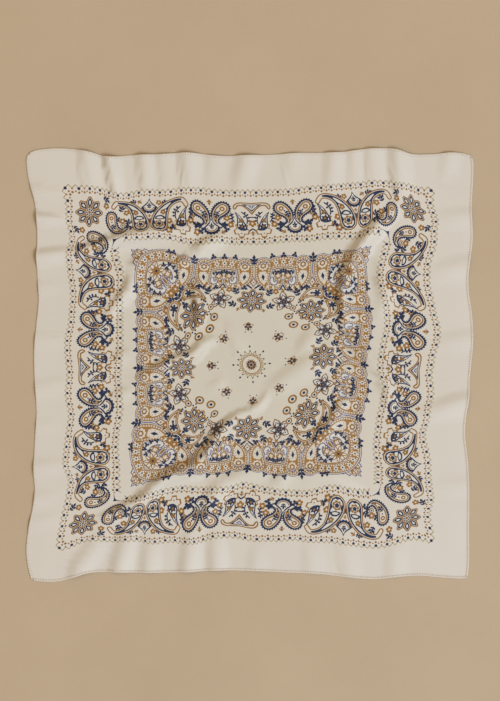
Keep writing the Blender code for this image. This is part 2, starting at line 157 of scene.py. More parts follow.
FOLDS = [  # x, y, height and half-width along each crest, the finest folds last
    [(-196, -196, 0, 8), (-168, -184, 5.5, 12), (-140, -171, 8.5, 14), (-111, -146, 9.5, 15),
     (-59, -117, 12, 16), (-36, -84, 11, 15), (-16, -64, 5.2, 11), (6, -54, 4, 9),
     (18, -40, 2.6, 9), (24, -26, 0, 7)],
    [(14, -38, 0, 12), (46, -16, 3.4, 20), (86, 10, 3, 22), (112, 26, 0, 14)],
    [(186, 200, 0, 9), (160, 175, 7.5, 14), (131, 137, 11.5, 16), (117, 101, 13, 15),
     (115, 70, 9.5, 14), (120, 42, 0, 9)],
    [(-226, 136, 3, 12), (-193, 146, 8, 14), (-162, 156, 10, 15), (-128, 163, 8, 15),
     (-90, 168, 5, 14), (-48, 170, 0, 9)],
    [(-68, -214, 0, 10), (-56, -188, 3, 15), (-43, -157, 3.8, 17), (-22, -142, 3.2, 16),
     (10, -133, 2, 15), (34, -134, 0, 10)],
    [(-184, 52, 0, 8), (-168, 74, 5, 12), (-151, 96, 6.5, 13), (-143, 122, 5, 12),
     (-140, 142, 0, 8)],
    [(-146, -22, 0, 8), (-122, -9, 5.5, 12), (-96, 4, 7.5, 13), (-72, 12, 7, 12),
     (-56, 28, 5, 11), (-38, 31, 0, 8)],
    [(-69, 108, 0, 7), (-67, 90, 8, 11), (-64, 65, 9.5, 12), (-67, 44, 0, 8)],
    [(-82, 128, 0, 10), (-68, 140, 5, 14), (-48, 154, 5.4, 16), (-24, 164, 0, 11)],
    [(108, 46, 0, 8), (128, 26, 4.2, 12), (160, -6, 5.5, 14), (171, -36, 4, 13),
     (170, -62, 0, 8)],
    [(148, 160, 0, 10), (160, 126, 4, 16), (166, 90, 4.6, 18), (158, 52, 0, 12)],
    [(126, -34, 0, 8), (111, -54, 4.4, 12), (92, -80, 5, 13), (74, -106, 0, 8)],
    [(36, -118, 0, 10), (66, -134, 3.4, 14), (104, -142, 3.6, 15), (140, -158, 0, 10)],
    [(-36, 58, 0, 10), (-26, 41, 2.8, 13), (-13, 20, 2.2, 13), (-9, 4, 0, 9)],
    [(56, 6, 0, 12), (70, 27, 3.2, 18), (84, 50, 0, 12)],
    [(-56, -30, 0, 8), (-42, -24, 1.6, 12), (-30, -12, 0, 8)],
    [(-70, 62, 0, 8), (-50, 56, 1.8, 12), (-36, 38, 1.4, 12), (-34, 18, 0, 8)],
    [(-176, 4, 0, 10), (-160, 10, 3.2, 14), (-144, 16, 0, 10)],
    [(-176, -42, 0, 10), (-158, -36, 3, 14), (-142, -30, 0, 10)],
    [(20, -150, 0, 10), (36, -143, 3, 14), (60, -134, 0, 10)],
    [(-98, 118, 0, 9), (-82, 130, 4, 12), (-66, 140, 0, 9)],
]
# How far each navy dot of the two printed rows lies from its flat place, along each side.
OUTER_ROW = {
    "front": [(-5, 4), (-3, 8), (-4, 14), (-3, 16), (-2, 15), (-2, 14), (-3, 15), (-1, 16),
        (-5, 13), (-6, 12), (-6, 14), (-8, 14), (-8, 12), (-10, 12), (-12, 15), (-14, 19),
        (-13, 20), (-12, 20), (-14, 17), (-12, 15), (-11, 16), (-12, 15), (-11, 17), (-11, 16),
        (-11, 14), (-12, 14), (-12, 14), (-11, 11), (-12, 10), (-12, 8), (-10, 7), (-10, 9),
        (-10, 13), (-10, 17), (-9, 18), (-8, 13)],
    "right": [(-8, 13), (-10, 15), (-13, 16), (-12, 13), (-8, 11), (-10, 8), (-11, 6), (-12, 4),
        (-12, 3), (-14, 4), (-18, 3), (-19, 1), (-15, -3), (-13, -3), (-12, -4), (-8, -8),
        (-9, -7), (-11, -7), (-8, -8), (-7, -9), (-2, -9), (0, -11), (-1, -11), (-5, -12),
        (-7, -14), (-10, -14), (-13, -16), (-13, -15), (-13, -16), (-8, -15), (-4, -14),
        (-5, -15), (-2, -16), (-6, -18), (-10, -19), (-8, -17)],
    "back": [(2, -14), (6, -15), (6, -15), (6, -17), (4, -20), (1, -24), (2, -23), (1, -20),
        (1, -19), (0, -20), (1, -19), (0, -17), (-1, -17), (-2, -17), (-1, -19), (-1, -20),
        (1, -20), (0, -20), (0, -20), (1, -20), (1, -19), (0, -19), (0, -17), (1, -15), (2, -14),
        (0, -13), (0, -12), (-2, -11), (-3, -10), (-2, -8), (-1, -8), (-1, -10), (-6, -11),
        (-6, -13), (-11, -17), (-8, -17)],
    "left": [(-5, 4), (-4, 5), (-1, 4), (1, 5), (5, 6), (7, 6), (10, 6), (7, 2), (2, -1), (3, -3),
        (4, -3), (6, -4), (8, -3), (10, -2), (7, -3), (5, -3), (7, -4), (8, -3), (6, -3), (5, -3),
        (5, -4), (7, -7), (10, -8), (10, -8), (12, -9), (12, -9), (10, -9), (8, -8), (7, -11),
        (7, -11), (11, -14), (10, -15), (6, -15), (7, -17), (6, -16), (2, -14)],
}
INNER_ROW = {
    "front": [(2, 1), (2, 2), (2, 2), (-1, 5), (-4, 8), (-5, 11), (-5, 13), (-7, 15), (-7, 13),
        (-6, 13), (-9, 13), (-8, 13), (-9, 15), (-9, 20), (-9, 16), (-8, 13), (-9, 11), (-8, 9),
        (-7, 9), (-8, 8), (-8, 11), (-9, 15), (-8, 15), (-9, 11), (-9, 9), (-10, 8), (-12, 10)],
    "right": [(-12, 10), (-10, 9), (-10, 5), (-10, 2), (-12, 0), (-13, 1), (-12, 0), (-10, 0),
        (-9, 0), (-5, 0), (-4, -2), (-1, -2), (-6, -3), (-9, -5), (-7, -4), (-5, -5), (-2, -4),
        (1, -5), (0, -4), (-1, -5), (-4, -6), (-7, -7), (-9, -6), (-7, -7), (-3, -6), (1, -7),
        (0, -7)],
    "back": [(2, -17), (2, -12), (2, -12), (3, -11), (4, -10), (4, -12), (5, -15), (4, -18),
        (3, -18), (4, -15), (4, -15), (3, -17), (2, -17), (4, -17), (5, -17), (4, -15), (6, -14),
        (6, -13), (5, -14), (5, -12), (5, -10), (6, -10), (7, -10), (6, -10), (2, -5), (3, -4),
        (0, -7)],
    "left": [(2, 1), (3, -1), (2, 1), (3, 2), (2, 0), (1, 1), (2, 0), (3, -2), (6, -2), (7, -1),
        (6, -1), (5, 0), (4, -3), (5, -5), (6, -6), (7, -6), (7, -7), (7, -6), (7, -10), (7, -12),
        (7, -11), (7, -12), (8, -13), (7, -12), (2, -14), (0, -15), (2, -17)],
}
INNER_MARKS = [  # other marks of the print: flat x and y, and their shift on the surface
    (-154, 154, 5, -11), (154, 154, -4, -7), (-154, -154, 5, 1), (154, -154, -16, 14),
    (-87, 137, 4, -11), (-61, 137, 3, -16), (-12, 137, 5, -16), (12, 137, 4, -15),
    (-12, -137, -3, 14), (12, -137, -3, 12), (61, -137, -9, 9), (87, -137, -12, 10),
    (-61, -137, -1, 9), (-87, -137, 1, 9), (-137, 87, 5, -8), (-137, 61, 5, -8),
    (-137, 12, 6, -5), (-137, -12, 5, -5), (-137, -61, 5, 2), (-137, -87, 0, -1),
    (137, 87, 1, -6), (137, 61, 5, -4), (137, 12, -1, -1), (137, -61, -6, 8), (0, 86, 2, -7),
    (0, -86, -5, 6), (-86, 0, 1, -4), (86, 0, 5, 10), (-72, 72, 2, -11), (72, -72, -2, 10),
    (72, 72, 3, -6), (-72, -72, 3, 1), (0, 0, 1, -1), (0, 49, -3, -2), (-35, 35, 2, -3),
    (-49, 0, 0, -2), (35, 35, 0, -1), (49, 0, 3, 4), (-35, -35, 5, 0), (0, -49, 3, 3),
    (35, -35, 1, 5), (38, -87, -3, 6), (87, -38, 3, 13), (87, 38, 6, 4), (38, 87, 3, -10),
    (-38, 87, 0, -6), (-87, 38, -1, -17), (-87, -38, -1, 1), (-38, -87, -4, 7),
]


# ---------------------------------------------------------------------------
# The laid shape.
# ---------------------------------------------------------------------------

def smooth_through(stations, values, at):
    """Read a smooth curve through table rows at the places `at`."""
    stations = np.asarray(stations, float)
    values = np.asarray(values, float)
    slopes = np.gradient(values, stations)
    at = np.clip(at, stations[0], stations[-1])
    index = np.clip(np.searchsorted(stations, at) - 1, 0, len(stations) - 2)
    span = stations[index + 1] - stations[index]
    t = (at - stations[index]) / span
    return (
        (1 + 2 * t) * (1 - t) ** 2 * values[index]
        + t * (1 - t) ** 2 * span * slopes[index]
        + t * t * (3 - 2 * t) * values[index + 1]
        + t * t * (t - 1) * span * slopes[index + 1]
    )


def edge_wave(side, along):
    """How far outside the nominal square a side's edge lies, in metres."""
    return MM * smooth_through(*zip(*EDGE_WAVES[side]), along / MM)


def laid_place(u, v):
    """Where the panel's point (u, v), each from -1 to 1, lies on the surface."""
    x, y = u * HALF_WIDTH, v * HALF_DEPTH
    right, left, back, front = (np.maximum(way, 0.0) ** EDGE_REACH for way in (u, -u, v, -v))
    move_x = edge_wave("right", y) * right - edge_wave("left", y) * left
    move_y = edge_wave("back", x) * back - edge_wave("front", x) * front
    for (side_x, side_y), draw in CORNER_DRAW.items():
        short = (1 - side_x * u) * HALF_WIDTH + (1 - side_y * v) * HALF_DEPTH
        pull = np.clip(1 - short / CORNER_REACH, 0.0, 1.0) ** 2 * draw * MM * math.sqrt(0.5)
        move_x, move_y = move_x - side_x * pull, move_y - side_y * pull
    return x + move_x, y + move_y


def on_side(side, along, out):
    """The (x, y) of a place along a side and `out` from the middle."""
    return {"front": (along, -out), "back": (along, out),
            "left": (-out, along), "right": (out, along)}[side]


def ripple_crest(side, start, reach, slant, height, half_width):
    """The sections along a border ripple, from beyond the edge to its inner end."""
    edge = (HALF_DEPTH if side in ("front", "back") else HALF_WIDTH) / MM
    shape = [  # share of the reach, of the height and of the half-width
        (-RUN_OUT / reach, 1.0, 1.0), (0.0, 1.0, 1.0), (0.45, 0.78, 0.95), (0.8, 0.3, 0.8),
        (1.0, 0.0, 0.6),
    ]
    return [(*on_side(side, start + slant * max(inward, 0.0), edge - inward * reach),
             height * high, half_width * wide) for inward, high, wide in shape]


def crest_points(crest):
    """Close points along a fold's crest, on one smooth curve, in metres."""
    rows = np.asarray(crest, float) * MM
    steps = np.linalg.norm(np.diff(rows[:, :2], axis=0), axis=1)
    stations = np.concatenate([[0.0], np.cumsum(steps)])
    count = max(2, int(round(stations[-1] / FOLD_STEP)) + 1)
    at = np.linspace(0.0, stations[-1], count)
    columns = [smooth_through(stations, rows[:, k], at) for k in range(4)]
    columns[2] = np.maximum(columns[2], 0.0)
    return np.stack(columns, axis=1)


# ---------------------------------------------------------------------------
# The print, drawn flat. A shape is a closed outline and its ink; later shapes lie
# over earlier ones. Along runs along a side from its middle and out runs from the
# scarf's middle, so the drawn eighth is 0 <= along <= out <= CUT.
# ---------------------------------------------------------------------------

GROUND, NAVY, OCHRE, PERIWINKLE, OLIVE, MILK, GOLD = range(7)

CUT = 280.0  # half-size of the flat cloth, in the print's own millimetres
THIN_SLACK = 0.21  # how far an outline may cut a corner, in millimetres
THINNEST = 0.3  # half-width below which a tube ends, in millimetres
TOOTH_PITCH = 3.1  # spacing of two teeth and two gaps of a toothed edge, in millimetres
# Spacing of the plain mesh points, each up to a distance from the middle, in millimetres.
FILL_STEPS = ((84.0, 6.4), (106.0, 10.0), (152.0, 13.0), (172.0, 6.8), (234.0, 11.0))
MARGIN_STEPS = (3.0, 9.4)  # the same in the plain margin, along its side and across it
DIAGONAL_GAP = 1.0  # the least between those points and the diagonal
EDGE_GAP = 1.6  # and between them and the edge
OUTER_PERIODS, OUTER_PITCH = 17.5, 13.3  # navy dots from the middle to the corner
INNER_PERIODS, INNER_PITCH = 13.0, 13.0
ROW_OUT = OUTER_PERIODS * OUTER_PITCH
ROW_IN = INNER_PERIODS * INNER_PITCH
BAND = 200.0  # middle of the paisley band
HEAD_OUT = 137.0  # centres of the inner frame's comma heads
HEADS = (11.8, 60.8, 85.8)  # where they stand along a side
PAIR = (HEADS[0] + HEADS[1]) / 2  # between two facing commas
GAPS = (0.0, (HEADS[1] + HEADS[2]) / 2)  # between two commas back to back
GAP_OUT = 113.6  # middle of the kite in each of those gaps
ARCH_OUT = 141.2  # middle of the arch over each pair
LEANING = 50.4  # where two small paisleys lean on a bowl, along the paisley band
GREAT = 126.6  # and where two large ones stand back to back


def smooth(points, steps, closed=False):
    """A curve through the points, with `steps` pieces to each span."""
    count = len(points)
    result = []
    for k in range(count if closed else count - 1):
        if closed:
            four = [points[(k + j - 1) % count] for j in range(4)]
        else:
            four = [points[min(max(k + j - 1, 0), count - 1)] for j in range(4)]
        for step in range(steps):
            t = step / steps
            weights = (-t + 2 * t**2 - t**3, 2 - 5 * t**2 + 3 * t**3,
                       t + 4 * t**2 - 3 * t**3, t**3 - t**2)
            result.append(tuple(sum(w * p for w, p in zip(weights, place)) / 2
                                for place in zip(*four)))
    if not closed:
        result.append(tuple(points[-1]))
    return result


def ring(x, y, radius, sides, ink, turn=0):
    """One round shape, in a list."""
    angles = [turn + math.tau * k / sides for k in range(sides)]
    return [([(x + radius * math.cos(a), y + radius * math.sin(a)) for a in angles], ink)]


def rings(x, y, *rows):
    """Round shapes on one centre, each (radius, sides, ink) and perhaps its turn."""
    return [one for row in rows for one in ring(x, y, *row)]


def lobed(x, y, inner, outer, lobes, ink, turn=0, rounded=True):
    """One flower shape, in a list, with rounded petals or with points."""
    steps = ((0, inner), (0.5, outer))
    if rounded:
        steps = ((0, inner), (0.28, outer * 0.96), (0.72, outer * 0.96))
    around = [(turn + math.tau * (k + share) / lobes, radius)
              for k in range(lobes) for share, radius in steps]
    return [([(x + radius * math.cos(a), y + radius * math.sin(a)) for a, radius in around], ink)]


def tube(spine, cap):
    """The outline of a shape that follows a spine of (x, y, half-width) points."""
    last = len(spine) - 1
    left, right, ends = [], [], []
    for k, (x, y, half) in enumerate(spine):
        before, after = spine[max(k - 1, 0)], spine[min(k + 1, last)]
        run = math.atan2(after[1] - before[1], after[0] - before[0])
        left.append((x - half * math.sin(run), y + half * math.cos(run)))
        right.append((x + half * math.sin(run), y - half * math.cos(run)))
    for index, other in ((last, last - 1), (0, 1)):
        x, y, half = spine[index]
        run = math.atan2(y - spine[other][1], x - spine[other][0]) + math.pi / 2
        angles = [run - math.pi * j / (cap + 1) for j in range(1, cap + 1)]
        ends.append([(x + half * math.cos(a), y + half * math.sin(a)) for a in angles])
    return left + ends[0] + right[::-1] + ends[1]


def thinned(points, slack):
    """A closed outline without the points that lie within `slack` of a straight run."""
    count = len(points)

    def kept(low, high):
        (ax, ay), (bx, by) = points[low], points[high % count]
        length = math.hypot(bx - ax, by - ay) + NO_LENGTH
        offs = [abs((bx - ax) * (py - ay) - (by - ay) * (px - ax)) / length
                for px, py in points[low + 1:high]]
        if not offs or max(offs) <= slack:
            return []
        place = low + 1 + offs.index(max(offs))
        return kept(low, place) + [place] + kept(place, high)

    far = max(range(count), key=lambda k: math.dist(points[0], points[k]))
    return [points[k] for k in [0, *kept(0, far), far, *kept(far, count)]]


def slimmer(spine, by):
    """The spine with its half-widths cut by `by`, where there is any left."""
    return [(x, y, half - by) for x, y, half in spine if half - by >= THINNEST]


def layers(spine, steps, cap):
    """Nested outlines of one spine, each (how much slimmer, ink), outermost first."""
    slim = [(slimmer(spine, by), ink) for by, ink in steps]
    return [(tube(part, cap), ink) for part, ink in slim if len(part) > 1]


def stroke(points, width, ink):
    """A line of ink through the points."""
    return [(tube([(x, y, width / 2) for x, y in points], 1), ink)]


def placed(shapes, x, y, turn=0, size=1, flip=False):
    """Shapes moved to (x, y), turned in degrees, scaled and perhaps mirrored."""
    cos, sin = size * math.cos(math.radians(turn)), size * math.sin(math.radians(turn))
    side = -1 if flip else 1
    return [([(x + side * px * cos - py * sin, y + side * px * sin + py * cos)
              for px, py in points], ink) for points, ink in shapes]


def scaled(points, x, y, wide, high):
    """An outline scaled about (x, y)."""
    return [(x + wide * (px - x), y + high * (py - y)) for px, py in points]


def spread(shapes, count, turn=0):
    """Copies of the shapes turned evenly about (0, 0)."""
    return [one for k in range(count) for one in placed(shapes, 0, 0, turn + 360 * k / count)]


def share_of(spine, share):
    """The place a share of the way down a spine."""
    place = share * (len(spine) - 1)
    k = min(int(place), len(spine) - 2)
    return tuple(a + (b - a) * (place - k) for a, b in zip(spine[k], spine[k + 1]))


def leaf(x0, y0, x1, y1, half, ink):
    """A pointed leaf between two points."""
    run = math.atan2(y1 - y0, x1 - x0)
    mx, my = x0 + 0.45 * (x1 - x0), y0 + 0.45 * (y1 - y0)
    dx, dy = half * math.sin(run), -half * math.cos(run)
    return [([(x0, y0), (mx + dx, my + dy), (x1, y1), (mx - dx, my - dy)], ink)]


def leaves(half, ink, *rows):
    """Leaves of one width, each a row of (x0, y0, x1, y1)."""
    return [one for row in rows for one in leaf(*row, half, ink)]


def scattered(spots, out=0):
    """The motifs of a table, moved out by `out`."""
    return [one for motif, x, y, *rest in spots for one in placed(motif(), x, out + y, *rest)]


def sprig():
    """A stem with a leaf at its tip and pairs at its sides."""
    return (
        stroke([(0, -3.6), (0.4, 0), (0, 2.4)], 1.2, NAVY) + leaf(0, 0.8, 0, 6.2, 1.7, NAVY)
        + leaf(0, -1, 4.2, 2.8, 1.5, NAVY) + leaf(0, -1, -4.2, 2.8, 1.5, NAVY)
        + leaf(0, -3.4, 3.2, -1.2, 1.1, NAVY) + leaf(0, -3.4, -3.2, -1.2, 1.1, NAVY)
    )


def trefoil():
    """Three short leaves."""
    return spread(leaf(-0.3, 0, 3.7, 0, 1.6, NAVY), 3, 90)


def bloom():
    """A small ochre star with an open eye."""
    return (lobed(0, 0, 3.1, 4.7, 5, OCHRE, math.pi / 10)
            + rings(0, 0, (2.6, 5, GOLD, 0.94), (1.5, 4, GROUND)))


def bud():
    """An ochre bud of three points."""
    return [([(0, -0.6), (1.6, 1.2), (0, 3.8), (-1.6, 1.2)], OCHRE),
            ([(-3.6, 0.8), (0, -3), (3.6, 0.8), (0, -0.4)], OCHRE)]


def dots():
    """Three navy dots."""
    return (ring(0, 2.1, 1.25, 5, NAVY) + ring(-2, -1.3, 1.25, 5, NAVY)
            + ring(2, -1.3, 1.25, 5, NAVY))


def white_flower():
    """A light flower with a navy eye, for an ochre ground."""
    return lobed(0, 0, 2.1, 4, 6, MILK, 0.2, False) + ring(0, 0, 1.2, 5, NAVY)


def disc():
    """An ochre ring with a navy dot."""
    return rings(0, 0, (5.6, 12, OCHRE), (3.5, 10, GROUND), (2, 6, NAVY))


def great_flower():
    """Eight outlined petals round a dotted eye."""
    petal = smooth([(4.6, 0, 1.5), (8.4, 0, 4.2), (12.2, 0, 5.1), (15.2, 0, 3)], 2)
    steps = ((0, OCHRE), (1.6, GROUND), (2.1, NAVY), (3.9, MILK))
    return (spread(layers(petal, steps, 2), 8) + rings(0, 0, (5.9, 10, OCHRE), (4.9, 10, MILK))
            + spread(ring(3.4, 0, 1.3, 4, NAVY), 8) + ring(0, 0, 2, 6, OCHRE))


def five_flower():
    """Five outlined petals round a solid navy star."""
    petal = smooth([(2.8, 0, 0.8), (6.4, 0, 4.2), (10.4, 0, 4.4), (14.2, 0, 1)], 2)
    return (spread(layers(petal, ((0, OCHRE), (1.3, NAVY), (1.8, MILK)), 2), 5, 90)
            + spread(stroke([(6.8, -2), (10.4, 0), (6.8, 2)], 1.3, NAVY), 5, 90)
            + spread(leaf(2, 0, 9.6, 0, 1.3, NAVY), 5, 54)
            + lobed(0, 0, 2.5, 5.4, 5, NAVY, math.radians(54), False) + ring(0, 0, 1.3, 5, OCHRE))


def daisy():
    """Nine ochre petals round a navy eye."""
    petal = [(3.2, 0, 0.9), (6, 0, 2.3), (9.2, 0, 2.1), (11.2, 0, 0.5)]
    return (spread(layers(petal, ((0, OCHRE), (1.1, MILK)), 1), 9, 5)
            + rings(0, 0, (3.8, 9, OCHRE), (2.6, 8, GOLD), (1.8, 6, NAVY)))


def posy():
    """Loose outlined ochre petals with navy leaves between them."""
    shapes = []
    for turn, reach in ((12, 6.6), (82, 5.6), (150, 6.4), (214, 5.4), (290, 6.2)):
        petal = leaf(0.8, 0, reach, 0, 2.2, OCHRE) + leaf(2.4, 0, reach - 1, 0, 1.1, GROUND)
        shapes += placed(petal, 0, 0, turn)
    for turn, reach in ((48, 5.2), (116, 4.6), (182, 5.6), (252, 4.8), (334, 4.4)):
        shapes += placed(leaf(0.2, 0, reach, 0, 1, NAVY), 0, 0, turn)
    return shapes + ring(-6.4, -3.6, 0.85, 4, NAVY) + ring(3.4, 6.6, 0.85, 4, NAVY)


def large_paisley():
    """An outlined paisley: its head at (0, 0), its tail up and hooked to the right."""
    spine = smooth([(-0.4, -3, 10.8), (1.3, 7, 10.2), (5.6, 17.5, 7.8), (12.2, 26, 5.3),
                    (21.6, 31, 4), (30.4, 31.2, 3.5), (35, 25.2, 3.3)], 3)
    heart = [(-5, 5.6), (-4, 9), (-0.6, 11), (3.6, 11.4), (7.2, 9.4), (7.6, 6.2), (1.4, 4.6)]
    return (layers(spine, ((0, OCHRE), (1.5, GROUND)), 5)
            + layers(spine[:-4], ((2.2, NAVY), (4.1, MILK)), 4)
            + stroke([(5, 18.4), (10, 20.4), (14.6, 25.6)], 1.3, NAVY)
            + stroke([(10, 20.4), (10.8, 16.4)], 1.3, NAVY)
            + lobed(5.6, 15.6, 2.6, 4, 5, OCHRE, 0.3) + ring(5.6, 15.6, 1, 4, GROUND)
            + [(heart, NAVY), (scaled(heart, 1, 7.4, 0.62, 0.5), MILK)]
            + lobed(-0.2, -1.6, 4.4, 6.2, 7, OCHRE) + ring(-0.2, -1.6, 3.5, 8, GROUND)
            + lobed(-0.2, -1.6, 2.3, 3.2, 5, NAVY, 0.3, False)
            + leaves(1.5, NAVY, (-5.6, 3.8, -6.8, -3), (6.4, 3, 6.6, -4.2),
                     (-3.6, -9.2, 3, -9.6)))


def toothed(spine, tooth):
    """A navy shape round a spine, edged with small teeth."""
    outline = tube(spine, 6)
    loop = outline + outline[:1]
    lengths = [math.dist(a, b) for a, b in zip(loop, loop[1:])]
    teeth = 2 * round(sum(lengths) / TOOTH_PITCH)
    turning = sum(a[0] * b[1] - b[0] * a[1] for a, b in zip(loop, loop[1:]))
    result = []
    k, passed = 0, 0
    for j in range(teeth):
        place = sum(lengths) * j / teeth
        while passed + lengths[k] < place:
            passed += lengths[k]
            k += 1
        (ax, ay), (bx, by) = loop[k], loop[k + 1]
        t = (place - passed) / lengths[k]
        out = math.copysign(tooth, turning) * (j % 2) / lengths[k]
        result.append((ax + (bx - ax) * t + out * (by - ay),
                       ay + (by - ay) * t - out * (bx - ax)))
    return [(result, NAVY)]


def toothed_paisley(points):
    """A paisley edged with navy teeth, along a spine of (x, y, half-width) points."""
    spine = smooth(points, 3)
    size = points[0][2] / 8.6
    steps = [(size * by, ink) for by, ink in ((1.9, GROUND), (2.6, OCHRE), (4.4, GROUND))]
    shapes = toothed(spine, 1.7 * size) + layers(spine, steps[:2], 4)
    shapes += layers(spine[:-4], steps[2:], 4)
    x, y, _ = spine[1]
    shapes += rings(x, y, (3.3 * size, 8, OCHRE), (1.5 * size, 5, GROUND))
    for share in (0.2, 0.56, 0.66):
        x, y, _ = share_of(spine, share)
        shapes += ring(x, y, 1.3 * size, 4, NAVY)
    x, y, _ = share_of(spine, 0.34)
    next_x, next_y, _ = share_of(spine, 0.5)
    turn = math.degrees(math.atan2(next_y - y, next_x - x)) - 90
    return shapes + placed(sprig(), x, y, turn, size)


def bowl():
    """A toothed bowl under a pointed lid."""
    arc = []
    for j in range(17):
        angle, radius = math.radians(2 - 184 * j / 16), 10 + 1.6 * (j % 2)
        arc.append((radius * math.cos(angle), -0.4 + 0.95 * radius * math.sin(angle)))
    lid = [(0, 12.4), (2, 7.2), (5.4, 3.6)]
    rest = [(-5.4, 3.6), (-2, 7.2)]
    halo = scaled([*lid, (11.6, 0.4), (0, -3), (-11.6, 0.4), *rest], 0, 0, 1.14, 1.1)
    light = [(0, 9.6), (1.8, 5), (4.6, 1.8), (7.4, -0.2), (6.4, -4), (3.6, -6.2), (0, -7),
             (-3.6, -6.2), (-6.4, -4), (-7.4, -0.2), (-4.6, 1.8), (-1.8, 5)]
    line = [(6, -1.2), (4.9, -3.7), (2.7, -5.2), (0, -5.7), (-2.7, -5.2), (-4.9, -3.7),
            (-6, -1.2)]
    return ([(halo, GROUND), (lid + arc + rest, NAVY), (light, MILK)]
            + stroke(line, 1.3, OCHRE) + placed(sprig(), 0, 0.4, size=0.84))


def tulip():
    """A navy blade that leans to the right over an ochre star, with branches."""
    blade = smooth([(8.6, 21.4), (6.2, 15.1), (5.8, 8.9), (6, 3.4), (4.6, -1), (-1, -3.2),
                    (-6.8, -1.6), (-4.2, 5.3), (-1.8, 10.9), (3, 17.2)], 2, closed=True)
    turn = math.radians(-126)
    return (
        lobed(0.6, -2.4, 6.8, 10.6, 5, OCHRE, turn) + lobed(0.6, -2.4, 5.1, 8.6, 5, GROUND, turn)
        + ring(0.8, -6.6, 1.1, 4, OCHRE)
        + [(blade, NAVY), (scaled(blade, 1.2, 7.2, 0.7, 0.82), MILK)]
        + leaf(3.4, 13, 6.4, 18.4, 1.2, PERIWINKLE)
        + leaves(1.2, NAVY, (1.4, 9.6, 4.2, 14.4), (1.4, 9.6, 4.4, 6.6), (1, 9.6, -2.2, 6.2))
        + lobed(1.4, 9.8, 1.7, 2.7, 5, OCHRE, 0.2) + lobed(0, 1.8, 3, 5.4, 6, NAVY, 0.2, False)
        + ring(0.2, 2.2, 1.7, 5, OCHRE)
        + stroke([(0, 21), (-3.6, 18), (-6, 14.4), (-6.8, 9.4), (-6, 6.2)], 1.5, NAVY)
        + stroke([(13.1, 19.8), (12, 15.1), (10.9, 10.7), (8.9, 7.8)], 1.5, NAVY)
        + leaves(1.5, NAVY, (-3.2, 18, -4.6, 22), (-5, 16, -8.6, 18.6), (-6.2, 13, -10.4, 14.4),
                 (-6.8, 10, -10.4, 9.2), (-4.6, 15.6, -1.4, 14), (12, 15.1, 15.8, 17.4),
                 (12.4, 16.4, 9.4, 18.8), (11.2, 11.6, 15.2, 12.4), (10.2, 9.8, 13.8, 7),
                 (11.8, 14, 8.6, 14.6))
    )


def boat():
    """A moustache with its flat side up, over a navy and light kite."""
    rim = smooth([(0, 19.3), (9, 20), (17, 19.8), (21.9, 16.6), (22.9, 12.2), (20.4, 10),
                  (18, 12.4), (16.6, 14.8), (12, 15), (6, 10.9), (0, 3.4)], 2)
    gap = smooth([(0, 17.9), (9, 18.5), (16.6, 18.2), (20.4, 15.6), (21.3, 12.7), (20.5, 11.8),
                  (19.5, 13.3), (17.6, 16.4), (11.5, 16.7), (5.1, 12.3), (0, 6.4)], 2)
    shapes = [(half + [(-x, y) for x, y in half[-2:0:-1]], ink)
              for half, ink in ((rim, OCHRE), (gap, GROUND))]
    kite = [(-12.2, 17.7), (0, 17), (12.2, 17.7), (4.8, 12.6), (0, 7.4), (-4.8, 12.6)]
    light = [(-7.6, 16.2), (7.6, 16.2), (3.4, 12.8), (0, 9.8), (-3.4, 12.8)]
    eye = [(-4, 15.4), (4, 15.4), (0, 11.6)]
    return (shapes + [(kite, NAVY), (light, MILK), (eye, PERIWINKLE)]
            + ring(0, 14.2, 1, 5, MILK))


def dotted_row(out, pitch, periods, side, start):
    """A dotted row with its zigzag; side is +1 if the paisley band lies outside it."""
    places = [(start + k) * pitch for k in range(int(periods - start) + 1)]
    zigzag = []
    for x in places:
        zigzag += [(x - pitch / 2, out - side * 0.4), (x - pitch / 4, out - side * 4.1),
                   (x, out - side * 0.4), (x + pitch / 4, out - side * 4.1)]
    shapes = stroke([p for p in zigzag if p[0] <= out + 0.1], 1.1, OLIVE)
    for x in places:
        shapes += ring(x, out, 1.9, 6, NAVY, 0.3)
        for off_x, off_y, radius in ((0, 4.5, 1.65), (-0.5, 4, 1.65), (-0.25, 3, 1.15),
                                     (0.25, 3, 1.15), (-0.5, 0.2, 1.1)):
            shapes += ring(x + off_x * pitch, out + side * off_y, radius, 4, OCHRE)
    return shapes


